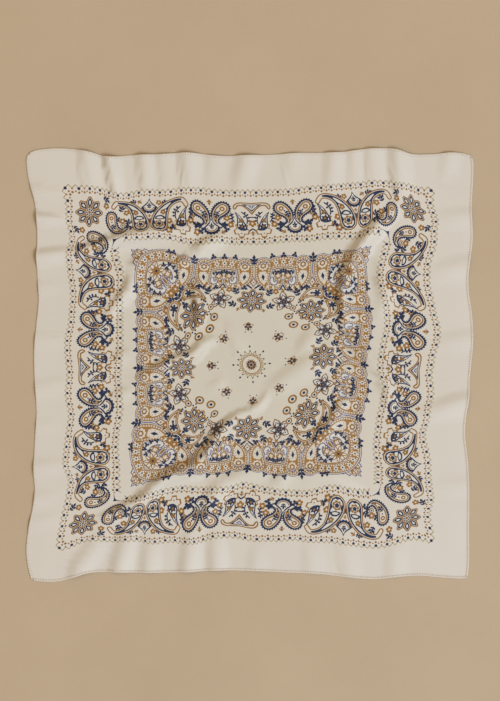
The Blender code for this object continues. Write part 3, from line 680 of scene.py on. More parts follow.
BAND_SPOTS = [  # motif, along, out from the band's middle, turn and size
    (bloom, 0, -7.6, 0, 1.05), (bud, 0, -20.2, 180), (bud, LEANING, 18.9, 180, 1.2),
    (bloom, 30.6, -1.4), (bloom, 26.2, -9.6, 20), (trefoil, 32, -16.2, 200, 1.4),
    (bud, 36.6, -20.4, 60, 1.1), (bloom, 71.8, 3.4, 0, 0.95), (bloom, 75.8, -4, 20),
    (trefoil, 69.6, -9.4, -50, 1.5), (bloom, 68.8, -18, 0, 1.05), (trefoil, 69.4, 11, 30, 1.4),
    (trefoil, 63.4, -17.4, 160, 1.3), (bloom, 103.2, -6.4), (bloom, 104.4, -20, 25, 1.1),
    (trefoil, 99.2, -15.4, 0, 1.5), (trefoil, 110.6, -20.4, 90, 1.2),
    (sprig, 107.4, 19.4, 70, 0.95), (bloom, 114.6, 19, 0, 0.85), (bud, 138.8, 20.4, 120, 1.1),
    (sprig, 146.2, 21.6, -75, 0.95), (bud, GREAT, 0.4, 180, 0.8), (trefoil, GREAT, -6, 180, 1.2),
    (sprig, 161.6, 13.6, 25, 1.2), (bloom, 155.2, 7.2, 0, 0.95), (bloom, 160.6, -4.4, 0, 1.05),
    (sprig, 152.6, -6.4, -60, 1.1), (disc, 160.2, -10.6, 0, 0.62),
    (trefoil, 149.6, -15.6, 200, 1.3), (trefoil, 166.6, -1.4, 40, 1.2),
    (sprig, 183.4, 23.6, 120, 1.1), (bloom, 183, 15.4, 0, 0.95), (tulip, 12.4, -13.8),
    (boat, 0, 0), (bowl, GREAT, 13.6, 0, 0.92),
]


def paisley_band():
    """Half of one side's paisley band."""
    shapes = (stroke([(-4.2, BAND + 0.4), (4.2, BAND + 0.4)], 1.4, NAVY)
              + stroke([(-3.6, BAND - 17), (0, BAND - 14.4), (3.6, BAND - 17)], 1.9, NAVY)
              + scattered(BAND_SPOTS, BAND)
              + placed(tulip(), 88, BAND - 9.6, size=1.08, flip=True))
    leaning = toothed_paisley([(-15.8, 11.6, 8.8), (-12, 8.2, 8.6), (-7.8, 3.6, 7.1),
                               (-5.4, -3, 4.9), (-6.8, -8.6, 3.4), (-11.4, -11.6, 2.5),
                               (-17.8, -9.6, 1.7)])
    leaning += leaves(1.5, NAVY, (-16.4, -10, -21.4, -11.8), (-15, -9.2, -18.4, -5.4))
    for side in (-1, 1):
        shapes += placed(leaning, LEANING, BAND, flip=side > 0)
        shapes += placed(large_paisley(), GREAT + 11.2 * side, BAND - 10, flip=side < 0)
    corner = [(175.4, 201.6, 7.6), (175.2, 196.4, 7.5), (173, 189.4, 6.3), (168, 183.2, 4.7),
              (161.4, 180.8, 3.3), (155.8, 184.2, 2.1), (153.8, 190.4, 1.2)]
    return shapes + placed(bowl(), LEANING, BAND - 13.2) + toothed_paisley(corner)


# Spines of (x, y, half-width) points: the commas, from their heads' centres, and the arches.
COMMA = [(0, 0, 10.4), (-1, 8, 10.2), (-1.2, 16, 9), (0.8, 23.5, 6.9), (6, 28.8, 5.2),
         (12.6, 30.2, 4.2), (18.4, 27.2, 3.4), (20.6, 21.6, 2.6), (18.6, 17.2, 1.8),
         (15.2, 16.8, 1)]
CORNER_COMMA = [(0, 0, 10.6), (-0.6, 8.5, 10.4), (0, 17, 8.9), (2.8, 25, 6.9), (8.6, 30, 5),
                (15.4, 30.4, 3.9), (20, 26.2, 2.9), (19.6, 20.8, 2.1), (16.2, 19.4, 1.2)]
ARCH = [(PAIR - 17, 138, 6), (PAIR - 8, 140.6, 6.3), (PAIR, ARCH_OUT, 6.4),
        (PAIR + 8, 140.6, 6.3), (PAIR + 17, 138, 6)]
CORNER_ARC = [(94, 138.5, 6), (103, 142.4, 6.2), (112, 143.8, 6.3), (121, 143.6, 6.3),
              (130, 141.6, 6.2), (138.2, 138.2, 6), (141.6, 130, 6.2)]


def beads(spine, inset, pitch, radius, ink):
    """Small dots that run just inside the outline of a tube round a spine."""
    loop = tube(slimmer(spine, inset), 4)
    shapes, passed, next_at = [], 0, 0
    for (ax, ay), (bx, by) in zip(loop, loop[1:] + loop[:1]):
        length = math.dist((ax, ay), (bx, by))
        while next_at < passed + length:
            t = (next_at - passed) / length
            shapes += ring(ax + (bx - ax) * t, ay + (by - ay) * t, radius, 4, ink)
            next_at += pitch
        passed += length
    return shapes


def comma_inside(spine):
    """The disc, the seeded leaf, the beads and the dotted tail of one comma."""
    x, y, _ = spine[0]
    arc = [(x + 5.4 * math.cos(math.radians(a)), y + 5.4 * math.sin(math.radians(a)))
           for a in range(20, 161, 35)]
    shapes = (lobed(x, y, 5.6, 6.8, 9, GROUND, 0.1, False) + stroke(arc, 1.2, PERIWINKLE)
              + lobed(x, y, 3.3, 4.1, 6, OCHRE) + ring(x, y, 2, 6, GROUND))
    (px, py, _), (qx, qy, _) = spine[3], spine[9]
    seed = [(px + (qx - px) * t, py + (qy - py) * t) for t in (-0.02, 0.2, 0.5, 0.8, 1.2)]
    run = math.hypot(qx - px, qy - py)
    dx, dy = (qy - py) / run, (px - qx) / run
    sections = list(zip(seed, (3.4, 5.6, 5.4, 4.4, 0.3)))
    left = [(sx + dx * half, sy + dy * half) for (sx, sy), half in sections]
    right = [(sx - dx * half, sy - dy * half) for (sx, sy), half in sections]
    shapes += [(left + right[::-1], GROUND)] + leaf(*seed[1], *seed[3], 2.2, NAVY)
    for (sx, sy), half in zip(seed[:4], (1.9, 3.7, 3.6, 2.4)):
        for side in (-half, half):
            shapes += ring(sx + dx * side, sy + dy * side, 0.75, 3, OCHRE)
    for k in range(12, len(spine) - 5, 3):
        x, y, half = spine[k]
        shapes += lobed(x, y, half * 0.28, min(2.6, half * 0.5), 4, MILK, 0, False)
    for k in range(len(spine) - 6, len(spine) - 1, 2):
        x, y, half = spine[k]
        shapes += ring(x, y, half * 0.36, 4, MILK)
    return shapes


def pale_hook(spine):
    """A light hook in a blue outline."""
    return layers(smooth(spine, 3), ((-1, PERIWINKLE), (0.1, MILK)), 2)


def corner_leaves():
    """The spiky leaves at the corner of the inner frame."""
    edge = [(120, 149), (127.6, 151.4), (131, 149.8), (137, 153.2), (140.4, 150.8),
            (146.2, 153.8), (148.6, 152), (154, 154)]
    spiky = edge + [(y, x) for x, y in edge[-2::-1]] + [(136, 136)]
    shapes = [(spiky, PERIWINKLE), (scaled(spiky, 138, 138, 0.91, 0.91), GROUND)]
    for x, y, tip_x, tip_y, half in (
            (139, 139, 151.8, 151.8, 3.3), (134, 144, 142.6, 151.8, 2.7),
            (139, 145, 148.4, 151.8, 2.3), (127, 145, 133, 150.6, 2.4),
            (143, 142, 151.8, 148.6, 2)):
        low, high = ((x + t * (tip_x - x), y + t * (tip_y - y)) for t in (0.34, 0.8))
        shapes += leaf(x, y, tip_x, tip_y, half, OCHRE) + leaf(*low, *high, half - 1.3, GROUND)
    return shapes


def between_commas(side):
    """The hook, blossom and leaves on one side between two facing commas."""
    def at(x):
        return PAIR + side * x

    return (
        pale_hook([(at(13.6), 120, 1.2), (at(13.8), 116, 1.8), (at(11.6), 112.8, 1.7),
                   (at(8.8), 113.6, 1.1), (at(8.6), 116.4, 0.7)])
        + lobed(at(6.2), 123.2, 2.8, 5, 4, OCHRE, 0.6)
        + lobed(at(6.2), 123.2, 1.5, 2.9, 4, GROUND, 0.6)
        + leaf(at(1.4), 118.6, at(5.4), 112.6, 1.7, OCHRE)
        + leaf(at(2), 126.4, at(1.4), 120.6, 1.3, OCHRE)
        + stroke([(at(0.6), 110), (at(3.6), 104.4)], 1.8, NAVY)
        + leaf(at(11.6), 123.6, at(12.6), 130.8, 1.5, NAVY)
    )


def inner_frame():
    """Half of one side of the inner frame."""
    commas = [
        [(head + side * x, HEAD_OUT - y, half) for x, y, half in smooth(table, 3)]
        for head, side, table in zip(HEADS, (1, -1, 1), (COMMA, COMMA, CORNER_COMMA))
    ]
    arch, corner = smooth(ARCH, 2), smooth(CORNER_ARC, 2)
    shapes = corner_leaves()
    for by, ink in ((-1.7, PERIWINKLE), (-0.9, GROUND), (0, OCHRE)):
        for spine in (arch, corner, *commas):
            shapes += layers(spine, ((by, ink),), 5)
    for spine in (arch, corner):
        shapes += layers(spine, ((1.1, GROUND),), 5)
        shapes += beads(spine, 2.1, 3.3, 1.05, OCHRE)
        shapes += layers(spine, ((3.1, OCHRE), (3.7, GOLD)), 5)
    for x in (-9, 0, 9):
        shapes += placed(white_flower(), PAIR + x, ARCH_OUT - 0.012 * x * x)
    for x, y in ((100.6, 142), (109.8, 143.8), (119.2, 144), (128.8, 142.2), (138.2, 138.2)):
        shapes += placed(white_flower(), x, y, size=1.1)
    for x, y in ((PAIR - 4.5, ARCH_OUT), (PAIR + 4.5, ARCH_OUT), (105.2, 143.2), (114.5, 144),
                 (124, 143.4), (133.6, 140.6)):
        shapes += ring(x, y, 1.1, 4, OCHRE)
    for spine in commas:
        shapes += layers(spine, ((0, OCHRE), (1.1, GROUND)), 5)
        shapes += beads(spine[:-6], 2.1, 3.3, 1.05, OCHRE)
        shapes += layers(spine, ((3.1, OCHRE), (3.8, GOLD)), 5)
        shapes += comma_inside(spine)
    shapes += between_commas(-1) + between_commas(1)
    shapes += stroke([(PAIR - 12.5, 131.4), (PAIR, 133.4), (PAIR + 12.5, 131.4)], 1.3, OCHRE)
    for k in range(-2, 3):
        shapes += placed(trefoil(), PAIR + 4.1 * k, 129 - 0.3 * k * k, 35 * k, 1.15)
    for gap in GAPS:
        for radius, ink in ((7.4, PERIWINKLE), (6.6, OCHRE), (4.9, GROUND)):
            wide = 0.62 * radius
            shapes.append(([(gap, GAP_OUT + radius), (gap + wide, GAP_OUT),
                            (gap, GAP_OUT - radius), (gap - wide, GAP_OUT)], ink))
        shapes += ring(gap, GAP_OUT, 1.4, 4, OCHRE)
        for side in (-1, 1):
            shapes += stroke([(gap + side * 2, 104.8), (gap + side * 7.6, 109.6)], 2.3, NAVY)
        shapes += placed(sprig(), gap, 144.2, 0, 1.35)
    for x, turn in ((PAIR - 13.5, 15), (PAIR + 13.5, -15), (PAIR, 0), (100.5, 12), (106.5, 5)):
        shapes += placed(trefoil(), x, 149.4, turn, 1.2)
    return shapes + frame_corner()


def frame_corner():
    """The daisy, hooks and sprigs inside the corner of the inner frame."""
    line = [(99.6, 133.6), (108, 136), (117, 136.8), (126, 135.2), (131, 131)]
    shapes = stroke(line, 1.4, OCHRE) + placed(daisy(), 123.4, 123.4, 45)
    shapes += pale_hook([(104.4, 114.8, 0.8), (102.8, 111.6, 1.5), (99.6, 112.4, 2),
                         (98.6, 118.4, 2.4), (101.2, 125.4, 2.5), (107.4, 129.8, 1.9),
                         (112.4, 129.8, 0.8)])
    for x, y, turn in ((96.8, 124, 40), (100.6, 129.4, 60), (106, 132.6, 80),
                       (96, 117.4, 20), (109.4, 126.8, 10), (113.6, 131.6, 110)):
        shapes += placed(trefoil(), x, y, turn, 1.05)
    almond = smooth([(106.6, 106.6, 0.8), (110, 110, 2.5), (113.8, 113.8, 2.2),
                     (116.8, 116.8, 0.6)], 2)
    return (shapes + lobed(108, 120, 3.2, 5.6, 4, OCHRE, 0.5)
            + lobed(108, 120, 1.7, 3.2, 4, GROUND, 0.5)
            + layers(almond, ((-0.8, PERIWINKLE), (0.2, GROUND), (1, OCHRE)), 1)
            + stroke([(104.6, 110.6), (109.4, 115), (114.6, 119.4)], 1, PERIWINKLE))


OPEN_SPOTS = [  # motif, along, out, turn and size
    (great_flower, 0, 86), (five_flower, 38.5, 87.5, 10), (great_flower, 72, 72, 45, 0.98),
    (disc, 51.6, 51.6), (disc, 45.8, 64.8, 0, 0.95), (disc, 50, 78, 0, 0.75),
    (sprig, 19.8, 99, -30, 1.2), (sprig, 22.4, 79.6, -65, 1.2), (sprig, 54.6, 100.4, 20, 1.3),
    (dots, 57, 83.5, 0, 1.1), (dots, 52.5, 70.5), (sprig, 60.6, 91, 160),
    (bloom, 28, 101.4, 0, 0.9), (sprig, 92.6, 92.6, -45, 1.5), (bloom, 85, 93),
    (bloom, 97, 102.4, 20, 1.15), (sprig, 89, 102, 20, 1.1), (trefoil, 66.6, 106.4, -60, 1.3),
    (trefoil, 10.5, 104.6, 0, 1.3), (trefoil, 61, 106, 40, 1.2), (bloom, 77, 108, 0, 0.95),
    (trefoil, 44.6, 105.4, 0, 1.3), (bud, 15.6, 72.6, 200, 0.9), (bud, 36.4, 103.6, 40),
    (trefoil, 84.4, 84.4, -45, 1.4), (bloom, 60.4, 66.8, 0, 0.7),
]


def open_middle():
    """What lies loose inside the frame, and the rosette."""
    shapes = scattered(OPEN_SPOTS)
    drop = smooth([(82, 97.4, 7), (76, 99.8, 7.4), (69, 98, 5.9), (62, 93.2, 3.2),
                   (57.6, 87.6, 0.9)], 3)
    shapes += layers(drop, ((0, OCHRE), (1.2, GROUND), (1.8, OCHRE), (3.2, GROUND)), 5)
    shapes += lobed(79.6, 98, 2.6, 5.2, 6, NAVY, 0.4)
    shapes += leaf(70, 98.4, 76, 99, 1.6, NAVY) + leaf(64, 94.4, 69.6, 98, 1.3, OCHRE)
    return shapes + rosette()


def rosette():
    """The rosette in the scarf's middle with its ring of posies."""
    return (spread(leaf(11.4, 0, 18.4, 0, 2.3, OLIVE), 16)
            + spread(leaf(12.8, 0, 17, 0, 1.2, GROUND), 16)
            + spread(ring(17.6, 0, 1.1, 4, NAVY), 16)
            + spread(ring(13.6, 0, 1, 4, OCHRE), 16, 11.5)
            + rings(0, 0, (12.2, 20, OCHRE), (11.2, 20, GROUND))
            + spread(leaf(1.5, 0, 7.8, 0, 1.7, OCHRE), 8, 22.5)
            + spread(leaf(2.4, 0, 7, 0, 1.2, NAVY), 8) + ring(0, 0, 2, 6, NAVY)
            + spread(leaf(21, 0, 25, 0, 1.3, NAVY), 8)
            + spread(placed(posy(), 49, 0, size=1.2), 8))


def whole_print():
    """Every printed shape of the eighth, in the order in which they are laid on."""
    shapes = dotted_row(ROW_OUT, OUTER_PITCH, OUTER_PERIODS, -1, 0.5)
    shapes += dotted_row(ROW_IN, INNER_PITCH, INNER_PERIODS - 1, 1, 0)
    wedge = [(ROW_IN + x, ROW_IN + y) for x, y in (
        (-9.6, 4), (-1, 2.8), (3.6, 3.6), (2.8, -1), (4, -9.6), (1.5, -0.9), (-0.9, 1.5))]
    shapes.append((wedge, NAVY))
    shapes += paisley_band()
    shapes += placed(great_flower(), 206, 206, 45, 1.02)
    shapes += inner_frame() + open_middle()
    return [(thinned(points, THIN_SLACK), ink) for points, ink in shapes]


# ---------------------------------------------------------------------------
# Where the flat cloth lies.
# ---------------------------------------------------------------------------

def middle_of_outline():
    """The middle of the laid outline's box, which is the part's origin."""
    t = np.linspace(-1.0, 1.0, 400)
    one = np.ones_like(t)
    sides = [laid_place(t, -one), laid_place(one, t), laid_place(t, one), laid_place(-one, t)]
    x = np.concatenate([side[0] for side in sides])
    y = np.concatenate([side[1] for side in sides])
    return (x.min() + x.max()) / 2, (y.min() + y.max()) / 2


def lay_marks():
    """Matching places on the flat cloth and on the surface, in millimetres."""
    marks = [((x, y), (x + move_x, y + move_y)) for x, y, move_x, move_y in INNER_MARKS]
    for rows, pitch, periods in ((OUTER_ROW, OUTER_PITCH, OUTER_PERIODS),
                                 (INNER_ROW, INNER_PITCH, INNER_PERIODS)):
        for side, moves in rows.items():
            first = 0 if side in ("front", "right") else 1  # each corner is marked once
            for k in range(first, first + len(moves) - 1):
                flat = on_side(side, (k - periods) * pitch, pitch * periods)
                marks.append((flat, tuple(round(p) + move for p, move in zip(flat, moves[k]))))
    t = np.linspace(-1.0, 1.0, 37)
    for sign in (-1.0, 1.0):
        for u, v in ((t, sign + 0 * t), (sign + 0 * t[1:-1], t[1:-1])):
            marks += [((CUT * a, CUT * b), (x / MM, y / MM))
                      for a, b, x, y in zip(u, v, *laid_place(u, v))]
    flat, laid = zip(*marks)
    return np.array(flat, float), np.array(laid, float)


def thin_plate(distance):
    """The kernel of a thin plate spline, scaled to the cloth's size."""
    share = distance / CUT
    return share**2 * np.log(np.maximum(share, NO_LENGTH))


def lay_down(points):
    """Flat print millimetres to laid metres, by a thin plate spline through the marks."""
    flat, laid = lay_marks()
    count = len(flat)
    span = np.linalg.norm(flat[:, None] - flat[None], axis=2)
    system = np.zeros((count + 3, count + 3))
    system[:count, :count] = thin_plate(span) + MARK_SLACK * np.eye(count)
    system[:count, count] = system[count, :count] = 1.0
    system[:count, count + 1:] = flat / CUT
    system[count + 1:, :count] = flat.T / CUT
    pull = np.linalg.solve(system, np.vstack([laid - flat, np.zeros((3, 2))]))
    moved = np.zeros_like(points)
    for start in range(0, len(points), BATCH):
        part = points[start:start + BATCH]
        far = np.linalg.norm(part[:, None] - flat[None], axis=2)
        moved[start:start + BATCH] = (
            thin_plate(far) @ pull[:count] + pull[count] + (part / CUT) @ pull[count + 1:]
        )
    laid_points = (points + moved) * MM
    rim = np.abs(points).max(axis=1) / CUT > 1 - TINY
    x, y = laid_place(*(points[rim] / CUT).T)
    laid_points[rim] = np.stack([x, y], axis=1)
    return laid_points


def rise_grid(crest, x, y):
    """The height of one fold on the part of the grid that it can reach."""
    points = crest_points(crest)
    reach = points[:, 3].max() * GENTLE_SIDE + GRID
    low, high = points[:, :2].min(axis=0) - reach, points[:, :2].max(axis=0) + reach
    columns = np.flatnonzero((x >= low[0]) & (x <= high[0]))
    rows = np.flatnonzero((y >= low[1]) & (y <= high[1]))
    window = np.ix_(rows, columns)
    px, py = np.meshgrid(x[columns], y[rows])
    best = np.full(px.shape, np.inf)
    rise = np.zeros(px.shape)
    for (ax, ay, a_high, a_wide), (bx, by, b_high, b_wide) in zip(points, points[1:]):
        run_x, run_y = bx - ax, by - ay
        t = np.clip(((px - ax) * run_x + (py - ay) * run_y) / (run_x**2 + run_y**2), 0.0, 1.0)
        off_x, off_y = px - ax - t * run_x, py - ay - t * run_y
        flank = np.where(off_y - off_x > 0, STEEP_SIDE, GENTLE_SIDE)
        share = np.hypot(off_x, off_y) / ((a_wide + t * (b_wide - a_wide)) * flank)
        flank_shape = np.cos(0.5 * math.pi * np.minimum(share, 1.0)) ** 2
        rise = np.where(share < best, (a_high + t * (b_high - a_high)) * flank_shape, rise)
        best = np.minimum(best, share)
    return window, rise


def height_field():
    """The cloth's height on a grid of laid places: its lines of x and y, and heights."""
    x = np.arange(-RIM, RIM + GRID / 2, GRID)
    total = np.zeros((len(x), len(x)))
    ripples = [ripple_crest(side, *row) for side, rows in RIPPLES.items() for row in rows]
    for crest in FOLDS + ripples:
        window, rise = rise_grid(crest, x, x)
        total[window] += rise**MERGE_POWER
    return x, total ** (1 / MERGE_POWER) + soft_rise(x)


def soft_rise(x):
    """A faint unevenness made of long shallow waves."""
    draw = np.random.default_rng(7)
    px, py = np.meshgrid(x, x)
    total = np.zeros(px.shape)
    for _ in range(SOFT_WAVES):
        turn, start = draw.uniform(0, math.tau, 2)
        length = draw.uniform(*SOFT_LENGTHS)
        total += np.sin(math.tau / length * (px * math.cos(turn) + py * math.sin(turn)) + start)
    return SOFT_RISE * (0.5 + 0.5 * np.clip(total / math.sqrt(2 * SOFT_WAVES), -1, 1))


def lowest_near(values, reach):
    """Each grid height lowered to the least within `reach` lines of it, both ways."""
    for axis in (0, 1):
        low = values.copy()
        for step in range(1, reach + 1):
            for way in (-step, step):
                low = np.minimum(low, np.roll(values, way, axis=axis))
        values = low
    return values


def read_grid(x, values, places):
    """The grid's value at each laid place, between its four nearest lines."""
    at = (places - x[0]) / GRID
    low = np.clip(np.floor(at).astype(int), 0, len(x) - 2)
    t = at - low
    (column, row), (u, v) = low.T, t.T
    return (
        values[row, column] * (1 - u) * (1 - v) + values[row, column + 1] * u * (1 - v)
        + values[row + 1, column] * (1 - u) * v + values[row + 1, column + 1] * u * v
    )


def unit(rows):
    """Each row at length 1."""
    return rows / np.linalg.norm(rows, axis=1)[:, None]


def turned(places, faces, way):
    """The triangles, all wound anticlockwise if `way` is 1 or clockwise if it is -1."""
    a, b, c = (places[faces[:, k]] for k in range(3))
    area = (b - a)[:, 0] * (c - a)[:, 1] - (b - a)[:, 1] * (c - a)[:, 0]
    faces[area * way < 0] = faces[area * way < 0][:, ::-1]
    return faces, np.abs(area), (a + b + c) / 3


class Lay:
    """The laid surface: heights and normals at laid places, before the recentring."""

    def __init__(self):
        self.x, self.heights = height_field()
        self.lows = lowest_near(self.heights, round(UNDER_STEP * MM / GRID))
        self.slope_y, self.slope_x = np.gradient(self.heights, GRID)
        self.middle = np.array(middle_of_outline())

    def height(self, places):
        return read_grid(self.x, self.heights, places)

    def low(self, places):
        """A height that a coarse net can follow without rising through the cloth."""
        return read_grid(self.x, self.lows, places)

    def normal(self, places):
        slopes = [read_grid(self.x, slope, places) for slope in (self.slope_x, self.slope_y)]
        return unit(np.stack([-slopes[0], -slopes[1], np.ones(len(places))], axis=1))


# ---------------------------------------------------------------------------
# The cloth's mesh, with the print cut into it.
# ---------------------------------------------------------------------------

def inside(outline, places):
    """Which of the places lie inside a closed outline, by its turns about them."""
    turns = np.zeros(len(places), int)
    px, py = places.T
    for (ax, ay), (bx, by) in zip(outline, outline[1:] + outline[:1]):
        left = (bx - ax) * (py - ay) - (px - ax) * (by - ay) > 0
        turns += ((ay <= py) & (by > py) & left).astype(int)
        turns -= ((ay > py) & (by <= py) & ~left).astype(int)
    return turns != 0


def fill_points():
    """Plain mesh points for the eighth, closer together where little is printed."""
    points, out, row = [], 0.0, 0
    while out < FILL_STEPS[-1][0]:
        step = next(step for reach, step in FILL_STEPS if out < reach)
        along = 0.5 * (row % 2) * step
        while along < out - DIAGONAL_GAP:
            points.append(Vector((along, out)))
            along += step
        points.append(Vector((out, out)))
        out += step * math.sqrt(0.75)
        row += 1
    step, rise = MARGIN_STEPS
    while out < CUT - EDGE_GAP:
        points += [Vector((step * k, out)) for k in range(int((out - DIAGONAL_GAP) / step) + 1)]
        points.append(Vector((out, out)))
        out += rise
    return points


def cut_eighth(shapes):
    """Points and triangles of the drawn eighth, with an ink to each triangle."""
    points, edges = [], []
    rim = [k * CUT / RIM_CELLS for k in range(RIM_CELLS + 1)]
    outlines = [outline for outline, _ in shapes]
    outlines.append([(0.0, 0.0), (0.0, CUT)] + [(x, CUT) for x in rim[1:]])
    for outline in outlines:
        base, count = len(points), len(outline)
        points += [Vector(place) for place in outline]
        edges += [(base + k, base + (k + 1) % count) for k in range(count)]
    points += fill_points()
    places, _, faces, *_ = delaunay_2d_cdt(points, edges, [], 0, CUT_SLACK, False)
    places = np.array(places)
    faces = np.array([face for face in faces if len(face) == 3])
    places[np.abs(places[:, 0]) < SNAP, 0] = 0.0
    diagonal = np.abs(places[:, 0] - places[:, 1]) < SNAP
    places[diagonal] = places[diagonal].mean(axis=1)[:, None]
    faces, area, centres = turned(places, faces, 1)
    kept = ((area > NO_AREA) & (centres[:, 0] > 0) & (centres[:, 0] < centres[:, 1])
            & (centres[:, 1] < CUT))
    faces, centres = faces[kept], centres[kept]
    inks = np.zeros(len(faces), int)
    for outline, ink in shapes:
        low, high = np.min(outline, axis=0), np.max(outline, axis=0)
        near = np.flatnonzero(((centres > low) & (centres < high)).all(axis=1))
        inks[near[inside(outline, centres[near])]] = ink
    return places, faces, inks


def whole_square(places, faces, inks):
    """The eighth mirrored to the whole square, with shared points joined."""
    all_places, all_faces = [], []
    for swap in (False, True):
        here = places[:, ::-1] if swap else places
        for sign_x in (1, -1):
            for sign_y in (1, -1):
                flipped = swap != (sign_x * sign_y < 0)
                all_faces.append((faces[:, ::-1] if flipped else faces)
                                 + len(places) * len(all_places))
                all_places.append(here * (sign_x, sign_y))
    all_places, all_faces = np.concatenate(all_places), np.concatenate(all_faces)
    used = np.unique(all_faces)
    keys, place_of = np.unique(np.round(all_places[used] / SNAP).astype(int), axis=0,
                               return_inverse=True)
    index = np.zeros(len(all_places), int)
    index[used] = place_of.ravel()
    joined = np.zeros((len(keys), 2))
    joined[place_of.ravel()] = all_places[used]
    joined_faces = index[all_faces]
    sound = (joined_faces != np.roll(joined_faces, 1, axis=1)).all(axis=1)
    return joined, joined_faces[sound], np.tile(inks, 8)[sound]


def rim_order(points):
    """Indices of the points on the square's edge, anticlockwise from its front left."""
    index = np.flatnonzero(np.abs(points).max(axis=1) > CUT * (1 - TINY))
    x, y = points[index].T
    front, right, back = (np.isclose(side, CUT) for side in (-y, x, y))
    short = CUT - SNAP  # a corner counts to the side that starts there
    along = np.select([front & (x < short), right & (y < short), back & (x > -short)],
                      [x + CUT, 3 * CUT + y, 5 * CUT - x], 7 * CUT - y)
    return index[np.argsort(along)]


def underside(rim_points):
    """A plainer net for the underside that meets the same edge: its points and faces."""
    count = len(rim_points)
    lines = np.arange(-CUT + UNDER_STEP, CUT - UNDER_STEP / 2, UNDER_STEP)
    inner = [(x, y) for y in lines for x in lines]
    points = [Vector(place) for place in [*rim_points, *inner]]
    edges = [(k, (k + 1) % count) for k in range(count)]
    places, _, faces, origin, *_ = delaunay_2d_cdt(points, edges, [], 1, 1e-4, True)
    faces, *_ = turned(np.array(places), np.array(faces), -1)
    return np.array(points), np.array([min(sources) for sources in origin])[faces]


def add_mesh(name, verts, faces, materials, face_materials=None, smooth=True):
    """An object from arrays of points and triangles, with a material to each face."""
    mesh = bpy.data.meshes.new(name)
    mesh.from_pydata(np.asarray(verts).tolist(), [], np.asarray(faces).tolist())
    for material in materials:
        mesh.materials.append(material)
    if face_materials is not None:
        mesh.polygons.foreach_set("material_index", np.asarray(face_materials, np.int32))
    if smooth:
        mesh.shade_smooth()
    thing = bpy.data.objects.new(name, mesh)
    bpy.context.scene.collection.objects.link(thing)
    return thing


def build_cloth(lay, inks):
    """The printed cloth as one closed thin shell, and its edge for the hems."""
    flat, faces, face_inks = whole_square(*cut_eighth(whole_print()))
    rim = rim_order(flat)
    under_flat, under_faces = underside(flat[rim])
    top_places, under_places = lay_down(flat), lay_down(under_flat)
    top_normals, under_normals = lay.normal(top_places), lay.normal(under_places)
    top = np.column_stack([top_places, lay.height(top_places)]) + SILK * top_normals
    under = np.column_stack([under_places, lay.low(under_places)])
    under[:len(rim), 2] = lay.height(under_places[:len(rim)])
    top[rim, :2] = under[:len(rim), :2] = top_places[rim]
    count = len(top)
    here = np.arange(len(rim))
    ahead = np.roll(here, -1)
    side = np.concatenate([np.column_stack([rim, count + here, count + ahead]),
                           np.column_stack([rim, count + ahead, rim[ahead]])])
    verts = np.concatenate([top, under])
    verts[:, :2] -= lay.middle
    all_faces = np.concatenate([faces, under_faces + count, side])
    plain = np.full(len(under_faces) + len(side), GROUND)
    cloth = add_mesh("printed_cloth", verts, all_faces, inks, np.concatenate([face_inks, plain]))
    corner_normals = np.concatenate([top_normals, -under_normals])[all_faces]
    a, b, c = (verts[side[:, k]] for k in range(3))
    corner_normals[-len(side):] = unit(np.cross(b - a, c - a))[:, None]
    cloth.data.normals_split_custom_set(corner_normals.reshape(-1, 3).tolist())
    add_bake_map(cloth, np.concatenate([flat, under_flat])[all_faces], len(faces), len(side),
                 all_faces[-len(side):] >= count)
    return cloth, under[:len(rim)]


def add_bake_map(cloth, corners, tops, sides, low):
    """The UV map: the top fills its lower half, the underside its upper half."""
    corners = corners / CUT / 2 + 0.5
    corners[..., 1] *= UV_PART
    corners[tops:, :, 1] += 1 - UV_PART
    corners[-sides:, :, 1] = 0.5 + UV_EDGE * low
    cloth.data.uv_layers.new(name="OFBake").uv.foreach_set("vector", corners.ravel())


# ---------------------------------------------------------------------------
# Hems and stitches.
# ---------------------------------------------------------------------------

def edge_frames(lay, edge):
    """At each edge point: its place, and unit directions out of and up from the cloth."""
    place = edge - np.array([*lay.middle, 0.0])
    run = unit(np.roll(place, -1, axis=0) - np.roll(place, 1, axis=0))
    out = unit(np.stack([run[:, 1], -run[:, 0], 0 * run[:, 0]], axis=1))
    return place, out, np.cross(out, run)


def hem_loops(lay, edge):
    """Loops round the rolled hem at each edge point, mitred at the corners."""
    place, out, up = edge_frames(lay, edge)
    ahead = unit((np.roll(place, -1, axis=0) - place)[:, :2])
    mitre = 1 / np.maximum(out[:, 0] * ahead[:, 1] - out[:, 1] * ahead[:, 0], 0.5)
    middle = place + out * (mitre * (HEM_WIDE / 2 - HEM_LAP))[:, None] + up * HEM_HIGH / 2
    wide, high = out * (mitre * HEM_WIDE / 2)[:, None], up * HEM_HIGH / 2
    angles = np.linspace(0, math.tau, HEM_SIDES, endpoint=False)
    lines = [middle + wide * math.cos(a) + high * math.sin(a) for a in angles]
    return np.stack(lines, axis=1), middle, out, up


def bar(loops):
    """Points and triangles of a closed bar through loops of equal size."""
    count, sides = loops.shape[:2]
    faces = []
    for k in range(count - 1):
        for side in range(sides):
            a, b = k * sides + side, k * sides + (side + 1) % sides
            faces += [(a, b + sides, b), (a, a + sides, b + sides)]
    last = (count - 1) * sides
    faces += [(0, side, side + 1) for side in range(1, sides - 1)]
    faces += [(last, last + side + 1, last + side) for side in range(1, sides - 1)]
    return loops.reshape(-1, 3), np.array(faces)


